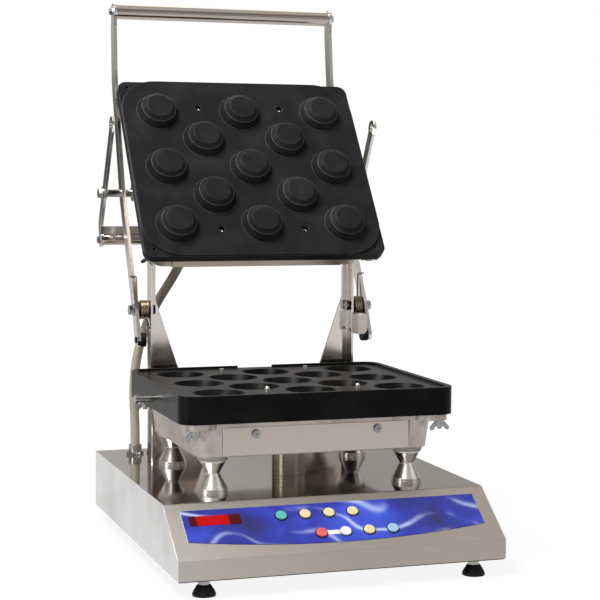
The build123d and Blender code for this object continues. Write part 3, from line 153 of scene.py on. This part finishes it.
class Tree:
    """A node tree with short calls for the nodes used here."""

    def __init__(self, tree):
        self.tree = tree

    def add(self, kind, **values):
        node = self.tree.nodes.new(kind)
        for key, value in values.items():
            setattr(node, key, value)
        return node

    def join(self, a, b):
        self.tree.links.new(a, b)

    def put(self, value, socket):
        """Give a socket a number, a colour or another node's output."""
        if isinstance(value, (int, float)):
            socket.default_value = value
        elif isinstance(value, tuple):
            socket.default_value = (*value, 1)
        else:
            self.join(value, socket)

    def axes(self, vector):
        """A vector's X, Y and Z outputs."""
        node = self.add("ShaderNodeSeparateXYZ")
        self.join(vector, node.inputs["Vector"])
        return node.outputs

    def ramp(self, value, *stops):
        node = self.add("ShaderNodeValToRGB")
        marks = node.color_ramp.elements
        while len(marks) < len(stops):
            marks.new(0.5)
        for mark, (place, colour) in zip(marks, stops):
            mark.position = place
            mark.color = (*colour, 1)
        self.join(value, node.inputs["Fac"])
        return node.outputs["Color"]

    def span(self, value, low, high, from_low=0.3, from_high=0.7):
        """A value taken from one range to another, and held inside it."""
        node = self.add("ShaderNodeMapRange")
        node.inputs["From Min"].default_value = from_low
        node.inputs["From Max"].default_value = from_high
        node.inputs["To Min"].default_value = low
        node.inputs["To Max"].default_value = high
        self.join(value, node.inputs["Value"])
        return node.outputs["Result"]

    def math(self, operation, *values):
        node = self.add("ShaderNodeMath", operation=operation)
        for value, socket in zip(values, node.inputs):
            self.put(value, socket)
        return node.outputs["Value"]

    def mix(self, factor, a, b):
        node = self.add("ShaderNodeMix", data_type="RGBA")
        for value, index in zip((factor, a, b), MIX_COLOURS):
            self.put(value, node.inputs[index])
        return node.outputs[MIX_COLOUR_OUT]

    def mix_numbers(self, factor, a, b):
        node = self.add("ShaderNodeMix", data_type="FLOAT")
        for value, index in zip((factor, a, b), MIX_NUMBERS):
            self.put(value, node.inputs[index])
        return node.outputs[MIX_NUMBER_OUT]


class Nodes(Tree):
    """A new material's node tree, with its shader and the object's own coordinates."""

    def __init__(self, name):
        self.mat = bpy.data.materials.new(name)
        self.mat.use_nodes = True
        super().__init__(self.mat.node_tree)
        self.shader = self.tree.nodes["Principled BSDF"]
        self.coord = self.add("ShaderNodeTexCoord").outputs["Object"]

    def set(self, **values):
        """Set numbers on the shader's own sockets, with _ for the space in their names."""
        for key, value in values.items():
            self.shader.inputs[key.replace("_", " ")].default_value = value

    def stretch(self, scale):
        node = self.add("ShaderNodeMapping")
        node.inputs["Scale"].default_value = scale
        self.join(self.coord, node.inputs["Vector"])
        return node.outputs["Vector"]

    def noise(self, scale, detail=4.0, rough=0.55, vector=None, distortion=0.0):
        node = self.add("ShaderNodeTexNoise")
        node.inputs["Scale"].default_value = scale
        node.inputs["Detail"].default_value = detail
        node.inputs["Roughness"].default_value = rough
        node.inputs["Distortion"].default_value = distortion
        self.join(vector or self.coord, node.inputs["Vector"])
        return node.outputs["Fac"]

    def bump(self, height, strength, distance, edge=0.0):
        node = self.add("ShaderNodeBump")
        node.inputs["Strength"].default_value = strength
        node.inputs["Distance"].default_value = distance
        self.join(height, node.inputs["Height"])
        if edge:
            self.join(self.rounded(edge), node.inputs["Normal"])
        self.join(node.outputs["Normal"], self.shader.inputs["Normal"])

    def rounded(self, radius):
        node = self.add("ShaderNodeBevel", samples=4)
        node.inputs["Radius"].default_value = radius
        return node.outputs["Normal"]

    def edges(self, radius, soft=0.35):
        """How much a place lies on an edge: where the rounded normal leaves the face's own."""
        face = self.add("ShaderNodeNewGeometry").outputs["Normal"]
        turn = self.add("ShaderNodeVectorMath", operation="DOT_PRODUCT")
        self.join(face, turn.inputs[0])
        self.join(self.rounded(radius), turn.inputs[1])
        return self.span(turn.outputs["Value"], 1, 0, 1 - soft, 0.995)

    def colour(self, socket):
        self.join(socket, self.shader.inputs["Base Color"])

    def roughness(self, socket):
        self.join(socket, self.shader.inputs["Roughness"])


def shade(colour, times, more=0.0):
    """A colour made darker or lighter by a factor, with a little added, up to white."""
    return tuple(min(1, c * times + more) for c in colour)


def steel(name, colour, rough, grain, marks=0.06, edge=0.0006, edge_darkening=0.0, side=None):
    """Brushed or polished stainless: grain lines, light clouds and soft or darkened edges.

    grain stretches the noise along each axis, and side is a painted shade: a darker tone on faces
    that look sideways.
    """
    m = Nodes(name)
    m.set(Metallic=1.0)
    lines = m.noise(40, 5, 0.65, m.stretch(grain))
    cloud = m.noise(9, 3, 0.5)
    lined = m.mix(m.span(lines, 0, 1), shade(colour, 1 - marks * 2.2), colour)
    field = m.mix(m.span(cloud, 0, 1), lined, colour)
    # Painted shade: faces that look sideways take the darker side tone
    if side:
        normal = m.add("ShaderNodeNewGeometry").outputs["Normal"]
        sideways = m.math("ABSOLUTE", m.axes(normal)["X"])
        field = m.mix(m.span(sideways, 0, 1, 0.5, 0.9), field, side)
    if edge_darkening:
        # Darker towards edges and creases, by the given amount
        field = m.mix(m.math("MULTIPLY", m.edges(edge, 0.5), edge_darkening), field, shade(colour, 0.12))
    m.colour(field)
    brushed = m.span(lines, rough * 0.75, rough * 1.2)
    m.roughness(m.math("ADD", brushed, m.span(cloud, 0, rough * 0.35)))
    m.bump(lines, 0.022, 0.0004, edge)
    return m.mat


def casting(name, colour, stain, rough):
    """Raw cast aluminium: pebbled skin, heat tint and darker edges and creases."""
    m = Nodes(name)
    m.set(Metallic=0.85)
    skin = m.noise(420, 5, 0.6)
    tint = m.noise(14, 4, 0.6, distortion=0.5)
    spots = m.noise(60, 3, 0.5)
    base = m.mix(m.span(tint, 0, 1, 0.35, 0.7), colour, stain)
    spotted = m.mix(m.span(spots, 0, 0.45, 0.52, 0.72), base, shade(stain, 0.5))
    # Darker towards edges and creases, more where the tint is stronger
    edge_darkening = m.math("MULTIPLY", m.edges(0.003, 0.6), m.span(tint, 0.35, 0.9))
    m.colour(m.mix(edge_darkening, spotted, shade(stain, 0.32)))
    m.roughness(m.span(skin, rough * 0.8, rough * 1.25))
    m.bump(m.math("ADD", skin, m.math("MULTIPLY", spots, 0.6)), 0.35, 0.0005, 0.0012)
    return m.mat


def coated(name, colour, rough, grain=900, edge=0.0008, gloss=0.4):
    """Dark non-stick coating: fine matt grain, faint rubbed patches, soft edges lightened as wear
    and as painted highlight lines.
    """
    m = Nodes(name)
    m.set(Specular_IOR_Level=gloss)
    fine = m.noise(grain, 3, 0.6)
    rub = m.noise(16, 5, 0.6, distortion=0.8)
    # Edge lightening: partly wear, partly painted highlight lines along the rims and ledges
    edge_wear_and_highlight = m.math("MULTIPLY", m.edges(edge), m.span(rub, 0.5, 1))
    field = m.mix(m.span(rub, 0, 0.8, 0.42, 0.75), colour, shade(colour, 1.7, 0.004))
    m.colour(m.mix(edge_wear_and_highlight, field, shade(colour, 5, 0.15)))
    m.roughness(m.math("ADD", m.span(rub, rough * 0.8, rough * 1.1), m.span(fine, 0, 0.1)))
    m.bump(fine, 0.16, 0.0003, edge)
    return m.mat


def plastic(name, colour, rough, bump=0.05, edge=0.0004, grain=700, vary=0.08, gloss=0.5):
    """Moulded plastic or rubber with a faint skin."""
    m = Nodes(name)
    m.set(Specular_IOR_Level=gloss)
    skin = m.noise(grain, 3, 0.5)
    cloud = m.noise(30, 3, 0.5)
    m.colour(m.mix(m.span(cloud, 0, 1), colour, shade(colour, 1 - vary)))
    m.roughness(m.span(skin, rough * 0.85, rough * 1.15))
    m.bump(skin, bump, 0.0003, edge)
    return m.mat


def housing_steel():
    """The base's sheet: a mirror-polished deck, a brushed slope and skirt, all paler to the left as
    painted light, with a near-white left side as painted light and a deck darkened to the right as
    painted reflection.
    """
    m = Nodes("stainless_housing")
    m.set(Metallic=1.0)
    place = m.axes(m.coord)
    deck = m.span(place["Z"], 0, 1, *DECK_BAND)
    across = m.span(place["X"], 0, 1, *PALER_BAND)
    lines = m.noise(40, 5, 0.65, m.stretch((1, 70, 70)))
    cloud = m.noise(8, 3, 0.5)
    # Painted reflection: the deck pale at the left and dark brown-grey to the right
    deck_painted_reflection = m.mix(across, (0.70, 0.68, 0.65), (0.38, 0.355, 0.32))
    # Painted light: the slope and skirt paler to the left
    front_painted_light = m.mix(across, (0.56, 0.525, 0.475), (0.45, 0.41, 0.36))
    # Painted light: the left side face near white
    left = m.span(place["X"], 1, 0, *SIDE_BAND)
    skirt_painted_light = m.mix(left, front_painted_light, (0.88, 0.88, 0.88))
    tone = m.mix(deck, skirt_painted_light, deck_painted_reflection)
    smudged = m.mix(m.span(cloud, 0, 0.5, 0.45, 0.7), tone, (0.47, 0.44, 0.40))
    brush_marks = m.math("MULTIPLY", m.span(lines, 0, 0.3), m.math("SUBTRACT", 1, deck))
    m.colour(m.mix(brush_marks, smudged, (0.42, 0.39, 0.36)))
    brushed = m.span(lines, 0.26, 0.40)
    mirror = m.math("ADD", m.span(cloud, 0.035, 0.075), m.span(lines, 0, 0.02))
    m.roughness(m.mix_numbers(deck, brushed, mirror))
    m.bump(m.math("MULTIPLY", lines, m.math("SUBTRACT", 1.05, deck)), 0.03, 0.0004, 0.0006)
    return m.mat


base_steel = housing_steel()
# Painted shade for the posts' sideways faces
sheet_side_shade = (0.60, 0.555, 0.51)
polished = steel("stainless_sheet", (0.92, 0.86, 0.80), 0.13, (60, 60, 1.5), 0.03, side=sheet_side_shade)
side_steel = steel("stainless_bar", (0.74, 0.72, 0.69), 0.15, (40, 40, 3), 0.05)
tube_steel = steel("stainless_tube", (0.52, 0.475, 0.42), 0.10, (1.5, 60, 60), 0.06)
turned = steel("turned_spacer", (0.80, 0.77, 0.73), 0.21, (3, 3, 260), 0.14, 0.0005, 0.5)
column_steel = steel("stainless_column", (0.34, 0.28, 0.22), 0.26, (2, 2, 90), 0.12)
plated = steel("plated_fastener", (0.40, 0.395, 0.38), 0.13, (20, 20, 20), 0.14, 0.0007, 0.9)
pin_steel = steel("ground_pin", (0.70, 0.68, 0.65), 0.34, (20, 20, 20), 0.1, 0.0004, 0.5)
cast = casting("cast_pan", (0.60, 0.55, 0.50), (0.40, 0.35, 0.30), 0.42)
cover_steel = steel("stainless_cover", (0.66, 0.595, 0.53), 0.3, (1, 50, 50), 0.06)
black = coated("black_plate", (0.0045, 0.0042, 0.0040), 0.26, gloss=0.08)
black_lid = coated("black_lid", (0.0135, 0.0135, 0.0148), 0.32, edge=0.0014, gloss=0.05)
paint_black = coated("black_paint", (0.012, 0.012, 0.012), 0.55, 500)
rubber = plastic("black_rubber", (0.008, 0.008, 0.008), 0.5, 0.2, 0.0008, 500, gloss=0.2)
ring = plastic("ceramic_ring", (0.62, 0.60, 0.52), 0.45, 0.15, 0.0008, 300, 0.2)
grey_plastic = plastic("grey_plastic", (0.28, 0.28, 0.29), 0.5)
board = plastic("board", (0.03, 0.16, 0.06), 0.5)
element = steel("element", (0.22, 0.2, 0.18), 0.4, (30, 30, 30), 0.2)
spring_wire = steel("spring_wire", (0.40, 0.33, 0.22), 0.2, (12, 60, 60), 0.2, 0)
bracket_steel = steel("bracket_sheet", (0.82, 0.77, 0.70), 0.4, (30, 30, 30), 0.05, 0.0008, 0.3)
hose_skin = plastic("hose_skin", (0.40, 0.37, 0.30), 0.28, 0.1, 0, 260, 0.12)
marking_white = plastic("marking_white", (0.82, 0.82, 0.80), 0.35)
bush = plastic("black_bush", (0.012, 0.012, 0.013), 0.35, 0.05, 0.0005)


def overlay_blue():
    """Printed blue sheet: a calm generic field of soft light sweeps that run along the panel."""
    m = Nodes("overlay_print")
    m.set(Coat_Weight=0.25, Coat_Roughness=0.12)
    bend = m.noise(11, 1, 0.4)
    place = m.axes(m.coord)
    drift = m.math("ADD", m.math("MULTIPLY", place["Z"], 150), m.math("MULTIPLY", bend, 9))
    slant = m.math("ADD", drift, m.math("MULTIPLY", place["X"], 16))
    wave = m.math("ABSOLUTE", m.math("SINE", slant))
    light = m.math("POWER", wave, 22)
    fade = m.span(m.noise(14, 2, 0.5), 0, 1, 0.4, 0.62)
    field = m.ramp(
        m.noise(11, 3, 0.5, distortion=0.6),
        (0.3, (0.004, 0.006, 0.11)),
        (0.5, (0.010, 0.022, 0.34)),
        (0.72, (0.030, 0.075, 0.60)),
    )
    sweeps = m.math("MULTIPLY", light, m.math("MULTIPLY", fade, 0.9))
    m.colour(m.mix(sweeps, field, (0.50, 0.60, 0.90)))
    m.roughness(m.span(bend, 0.22, 0.32))
    return m.mat


def window_red():
    """Deep red window with a brighter middle where the display lies."""
    m = Nodes("window_red")
    m.set(Specular_IOR_Level=0.15, Emission_Strength=0.12)
    across = m.axes(m.coord)["X"]
    middle = m.math("ABSOLUTE", m.math("SUBTRACT", across, WINDOW_X))
    inside = m.span(middle, 1, 0, *WINDOW_BAND)
    bands = m.math("ABSOLUTE", m.math("SINE", m.math("MULTIPLY", across, 380)))
    glow = m.math("MULTIPLY", inside, m.span(bands, 0.6, 1, 0.0, 0.25))
    cloud = m.noise(160, 2, 0.5)
    colour = m.mix(glow, (0.060, 0.001, 0.003), (0.40, 0.001, 0.002))
    m.colour(m.mix(m.span(cloud, 0, 0.12), colour, (0.25, 0.0, 0.0)))
    m.join(m.mix(glow, (0.01, 0, 0), (0.9, 0.0, 0.003)), m.shader.inputs["Emission Color"])
    m.roughness(m.span(cloud, 0.18, 0.26))
    return m.mat


def key_cap(name, colour):
    """Domed key: a translucent-looking coloured cap with a soft sheen and a rim painted darker as
    shade.
    """
    m = Nodes(name)
    m.set(Coat_Weight=0.6, Coat_Roughness=0.1)
    cloud = m.noise(140, 3, 0.5)
    face = m.mix(m.span(cloud, 0, 1), colour, shade(colour, 0.85))
    # Painted shade: the cap's rim darker
    m.colour(m.mix(m.edges(0.0011, 0.5), face, shade(colour, 0.22)))
    m.roughness(m.span(cloud, 0.24, 0.36))
    m.bump(cloud, 0.04, 0.0003, 0.0012)
    return m.mat


# The finish of every CAD piece
key_colours = {
    "button_upper_1": (0.08, 0.48, 0.42),
    "button_upper_2": (0.86, 0.70, 0.40),
    "button_upper_3": (0.86, 0.70, 0.40),
    "button_upper_4": (0.86, 0.70, 0.40),
    "button_lower_1": (0.80, 0.11, 0.12),
    "button_lower_2": (0.88, 0.88, 0.88),
    "button_lower_3": (0.86, 0.70, 0.40),
    "button_lower_4": (0.36, 0.58, 0.80),
}

finish = {
    "base_housing": base_steel,
    "base_bottom_plate": paint_black,
    "rubber_feet": rubber,
    "foot_studs": plated,
    "control_overlay": overlay_blue(),
    "display_window": window_red(),
    "display_module": grey_plastic,
    "control_board": board,
    "heater_relay": grey_plastic,
    "terminal_block": grey_plastic,
    "mains_gland": grey_plastic,
    "conduit_base_gland": plated,
    "conduit_hose": hose_skin,
    "heater_spacers": turned,
    "spacer_washers": ring,
    "centre_column": column_steel,
    "lower_heater_pan": cast,
    "lower_front_cover": cover_steel,
    "lower_heating_element": element,
    "temperature_probe": element,
    "lower_plate": black,
    "locating_pins": pin_steel,
    "latch_pins": plated,
    "lower_wing_nuts": plated,
    "post_right": polished,
    "post_left": polished,
    "base_screws": plated,
    "pivot_bolts": plated,
    "spring_anchors": plated,
    "torsion_spring_right": spring_wire,
    "torsion_spring_left": spring_wire,
    "stop_bracket": bracket_steel,
    "arm_right": side_steel,
    "arm_left": side_steel,
    "arm_bumpers": rubber,
    "handle_tube": tube_steel,
    "handle_bolts": plated,
    "lid_pins": plated,
    "upper_plate": black_lid,
    "upper_heater_pan": cast,
    "upper_rear_cover": cover_steel,
    "upper_heating_element": element,
    "upper_wing_nuts": plated,
    "lid_ears": side_steel,
    "lid_screws": plated,
    "lid_terminal_box": cover_steel,
    "conduit_lid_gland": plated,
    "hook_bar_right": side_steel,
    "hook_bar_left": side_steel,
    "yoke_tube": tube_steel,
    "yoke_strip": side_steel,
    "yoke_bolts": plated,
}
for key, colour in key_colours.items():
    finish[key] = key_cap("cap_" + key, colour)
for name, obj in nodes.items():
    obj.data.materials.clear()
    obj.data.materials.append(finish[name])


# Places on the sloping front
panel_up = Vector((0, math.cos(SLOPE), math.sin(SLOPE)))
panel_out = Vector((0, -math.sin(SLOPE), math.cos(SLOPE)))
panel_foot = Vector((0, FRONT_Y, LIP_Z))


def panel_point(x, up, out):
    """A place on the sloping front: across, up the slope from its lower fold, and out of it."""
    return panel_foot + Vector((x, 0, 0)) + panel_up * up + panel_out * out


def key_place(key):
    """Where a key stands on the sloping front, across and up, and the radius of its box."""
    low, high = (Vector(corner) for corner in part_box(key))
    middle = (low + high) / 2
    return middle.x, (middle - panel_foot).dot(panel_up), (high.x - low.x) / 2


# Turned and ring-shaped pieces
def rings(bm, centre, axis, profile, count=48):
    """A closed turned shape in bm: its profile's (distance along, radius) pairs about a line."""
    turn = Vector((0, 0, 1)).rotation_difference(Vector(axis)).to_matrix()
    loops = []
    for along, radius in profile:
        loop = []
        for k in range(count):
            angle = 2 * math.pi * k / count
            spot = Vector((radius * math.cos(angle), radius * math.sin(angle), along))
            loop.append(bm.verts.new(Vector(centre) + turn @ spot))
        loops.append(loop)
    for low, high in zip(loops, loops[1:] + loops[:1]):
        for k in range(count):
            bm.faces.new((low[k], low[(k + 1) % count], high[(k + 1) % count], high[k]))


def turned_piece(name, body, material, centre, axis, profile, count=48, smooth=True):
    """A turned shape as an object of its own, riding on a body."""

    def shape(bm):
        rings(bm, centre, axis, profile, count)

    mesh_object(name, shape, body, material, smooth)


# Black bushes that the torsion springs sit on
bush_profile = [
    (0.0, BUSH_BORE),
    (0.0, BUSH_FLANGE),
    (BUSH_FLANGE_WIDTH, BUSH_FLANGE),
    (BUSH_FLANGE_WIDTH, BUSH_BODY),
    (BUSH_BODY_END, BUSH_BODY),
    (BUSH_BODY_END, BUSH_FLANGE),
    (BUSH_LENGTH, BUSH_FLANGE),
    (BUSH_LENGTH, BUSH_BORE),
]
for side, sign in (("right", 1), ("left", -1)):
    seat = (sign * BUSH_SEAT_X, PIVOT_Y, PIVOT_Z)
    turned_piece("spring_bush_" + side, "base", bush, seat, (sign, 0, 0), bush_profile, smooth=False)

# Lid frame: one direction runs away from the bosses, the other to the hinge
lid_out = Vector((0, math.cos(TILT), -math.sin(TILT)))
lid_hinge = Vector((0, -math.sin(TILT), -math.cos(TILT)))
pin_low, pin_high = (Vector(corner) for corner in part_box("lid_pins"))
lid_centre = (pin_low + pin_high) / 2 - lid_out * LID_PIN_HEIGHT + lid_hinge * LID_PIN_FORWARD

# Steel sleeves deep in the upper plate's four locating holes
sleeve_profile = [
    (0.0050, 0.0006),
    (0.0044, 0.0032),
    (0.0056, 0.0040),
    (0.0080, 0.0040),
    (0.0080, 0.0006),
]
for k, (sx, sy) in enumerate(((-1, -1), (1, -1), (-1, 1), (1, 1))):
    mouth = lid_centre + Vector((sx * LOCATING_X, 0, 0)) + lid_hinge * (sy * LOCATING_Y)
    turned_piece(f"locating_sleeve_{k + 1}", "lid", plated, mouth, lid_out, sleeve_profile, 32)

# Dark rings round the keys, seated on the overlay: painted shade where the keys' shadow falls
for key in key_colours:
    x, up, radius = key_place(key)
    shade_ring_profile = [
        (OVERLAY_TOP, radius + 0.00025),
        (SHADE_RING_TOP, radius + 0.00035),
        (SHADE_RING_TOP, radius + 0.0008),
        (OVERLAY_TOP, radius + 0.0014),
    ]
    turned_piece("shade_ring_" + key, "base", rubber, panel_point(x, up, 0), panel_out, shade_ring_profile, 40)


# White link between the first two lower keys, printed on the overlay
def link_shape(bm):
    first_x, up, _ = key_place("button_lower_1")
    second_x = key_place("button_lower_2")[0]
    left = first_x + KEY_LINK_GAP
    right = second_x - KEY_LINK_GAP
    corners = [(left, -1), (right, -1), (right, 1), (left, 1)]
    low, high = [], []
    for x, side in corners:
        low.append(bm.verts.new(panel_point(x, up + side * KEY_LINK_FOOT, OVERLAY_TOP)))
        high.append(bm.verts.new(panel_point(x, up + side * KEY_LINK_FACE, KEY_LINK_TOP)))
    bm.faces.new(low)
    bm.faces.new(high)
    for k in range(4):
        bm.faces.new((low[k], low[(k + 1) % 4], high[(k + 1) % 4], high[k]))


mesh_object("key_link", link_shape, "base", marking_white, smooth=False)

# Conduit: the grey hose from the deck to the lid, in two stretches that meet beside the pivot
HOSE_ROUTE = [
    (-0.166, 0.1545, 0.1156),
    (-0.166, 0.1545, 0.150),
    (-0.1686, 0.1537, 0.187),
    (-0.167, 0.152, 0.224),
    (-0.161, 0.1495, 0.260),
    (-0.150, 0.146, 0.294),
    (-0.1345, 0.1423, 0.326),
    (-0.116, 0.139, 0.355),
    (-0.103, 0.1377, 0.3785),
    (-0.0936, 0.1413, 0.4013),
    (-0.089, 0.15004, 0.42028),
    (-0.089, 0.16079, 0.43472),
]
HOSE_SPLIT = 7


def hose_stretch(name, route):
    """One stretch of the conduit: a smooth tube on its route."""
    line_data = bpy.data.curves.new(name + "_line", "CURVE")
    line_data.dimensions = "3D"
    line_data.resolution_u = 12
    spline = line_data.splines.new("NURBS")
    spline.points.add(len(route) - 1)
    for point, place in zip(spline.points, route):
        point.co = (*place, 1)
    spline.order_u = 3
    spline.use_endpoint_u = True
    line = bpy.data.objects.new(name + "_line", line_data)
    path = [tuple(v.co) for v in bpy.data.meshes.new_from_object(line).vertices]
    line_data.bevel_depth = HOSE_DIAMETER / 2
    line_data.bevel_resolution = 8
    tube = link(bpy.data.objects.new(name, bpy.data.meshes.new_from_object(line)))
    bpy.data.objects.remove(line)
    tube.data.materials.clear()
    tube.data.materials.append(hose_skin)
    for face in tube.data.polygons:
        face.use_smooth = True
    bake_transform(tube)
    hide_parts("conduit_hose")


hose_joint = tuple((Vector(HOSE_ROUTE[HOSE_SPLIT - 1]) + Vector(HOSE_ROUTE[HOSE_SPLIT])) / 2)
hose_low = HOSE_ROUTE[:HOSE_SPLIT] + [hose_joint]
hose_high = [hose_joint] + HOSE_ROUTE[HOSE_SPLIT:]
hose_stretch(
    "conduit_low",
    hose_low,
)
hose_stretch(
    "conduit_high",
    hose_high,
)

# Lighting: a white room for the camera, light and dark bands for mirrors, soft lamps
ROOM_LIGHT = 0.17
world = bpy.data.worlds.new("studio")
scene.world = world
world.use_nodes = True
room = Tree(world.node_tree)
room.tree.nodes.clear()
room_ray = room.add("ShaderNodeLightPath").outputs
room_height = room.axes(room.add("ShaderNodeTexCoord").outputs["Generated"])["Z"]
room_levels = [
    (0.0, 0.70),
    (0.46, 0.80),
    (0.490, 0.05),
    (0.514, 0.06),
    (0.54, 0.50),
    (0.64, 0.42),
    (0.73, 0.17),
    (0.82, 0.34),
    (0.92, 0.85),
    (1.0, 0.65),
]
room_stops = [(place, (level, level * 0.96, level * 0.92)) for place, level in room_levels]
room_wall = room.ramp(room.span(room_height, 0, 1, -1, 1), *room_stops)
room_seen = room.add("ShaderNodeBackground")
room.put(room.mix(room_ray["Is Camera Ray"], room_wall, (1, 1, 1)), room_seen.inputs["Color"])
room_light = room.add("ShaderNodeBackground")
room.put((1, 1, 1), room_light.inputs["Color"])
room.put(ROOM_LIGHT, room_light.inputs["Strength"])
room_mirrored = room.math("MAXIMUM", room_ray["Is Camera Ray"], room_ray["Is Glossy Ray"])
room_share = room.math("MAXIMUM", room_mirrored, room_ray["Is Transmission Ray"])
room_mix = room.add("ShaderNodeMixShader")
room.put(room_share, room_mix.inputs["Fac"])
room.join(room_light.outputs["Background"], room_mix.inputs[1])
room.join(room_seen.outputs["Background"], room_mix.inputs[2])
room_out = room.add("ShaderNodeOutputWorld")
room.join(room_mix.outputs["Shader"], room_out.inputs["Surface"])


def lamp(name, place, target, size, power):
    """A soft square area lamp that faces a target."""
    data = bpy.data.lights.new(name, "AREA")
    data.size = size
    data.energy = power
    obj = link(bpy.data.objects.new(name, data))
    obj.location = place
    obj.rotation_euler = (Vector(target) - Vector(place)).to_track_quat("-Z", "Y").to_euler()


lamp("top", (-1.05, -0.4, 2.5), (0, -0.1, 0.3), 1.1, 80)
lamp("key", (-1.5, -1.9, 2.2), (0, 0, 0.35), 1.5, 11)
lamp("left", (-2.3, -0.9, 0.25), (0, 0, 0.4), 0.7, 7.5)
lamp("fill", (2.0, -1.6, 1.3), (0, 0, 0.35), 1.8, 6)
lamp("back", (0.4, 1.9, 2.2), (0, 0, 0.35), 1.6, 12)

# Floor: pale, with the object's shadow near it and plain white further off
FLOOR_HALF = 9
FLOOR_DROP = 0.0002
FLOOR_WHITE = 1.12
table = Nodes("floor")
table.set(Roughness=0.6)
table_cloud = table.span(table.noise(3, 2), 0, 1)
table.colour(table.mix(table_cloud, (0.42, 0.42, 0.42), (0.44, 0.44, 0.44)))
table_ray = table.add("ShaderNodeLightPath").outputs
table_far = table.add("ShaderNodeVectorMath", operation="LENGTH")
table.join(table.coord, table_far.inputs[0])
table_white = table.span(table_far.outputs["Value"], 0.80, 1, 0.35, 1.1)
table_mirrored = table.span(table_far.outputs["Value"], 0.86, 0.68, 0.9, 1.6)
table_seen = table.math("MULTIPLY", table_ray["Is Camera Ray"], table_white)
table_bright = table.math("MULTIPLY", table_ray["Is Camera Ray"], FLOOR_WHITE)
table_shine = table.math("MULTIPLY", table_ray["Is Glossy Ray"], table_mirrored)
table_glow = table.add("ShaderNodeEmission")
table.join(table.math("ADD", table_bright, table_shine), table_glow.inputs["Strength"])
table_mix = table.add("ShaderNodeMixShader")
table.join(table.math("MAXIMUM", table_seen, table_ray["Is Glossy Ray"]), table_mix.inputs["Fac"])
table.join(table.shader.outputs["BSDF"], table_mix.inputs[1])
table.join(table_glow.outputs["Emission"], table_mix.inputs[2])
table.join(table_mix.outputs["Shader"], table.tree.nodes["Material Output"].inputs["Surface"])
floor_signs = ((-1, -1), (1, -1), (1, 1), (-1, 1))
floor_corners = [(x * FLOOR_HALF, y * FLOOR_HALF, 0) for x, y in floor_signs]
floor_mesh = bpy.data.meshes.new("floor")
floor_mesh.from_pydata(floor_corners, [], [(0, 1, 2, 3)])
floor_mesh.materials.append(table.mat)
floor = link(bpy.data.objects.new("floor", floor_mesh))
floor.location.z = -FLOOR_DROP

scene.view_settings.view_transform = "Standard"
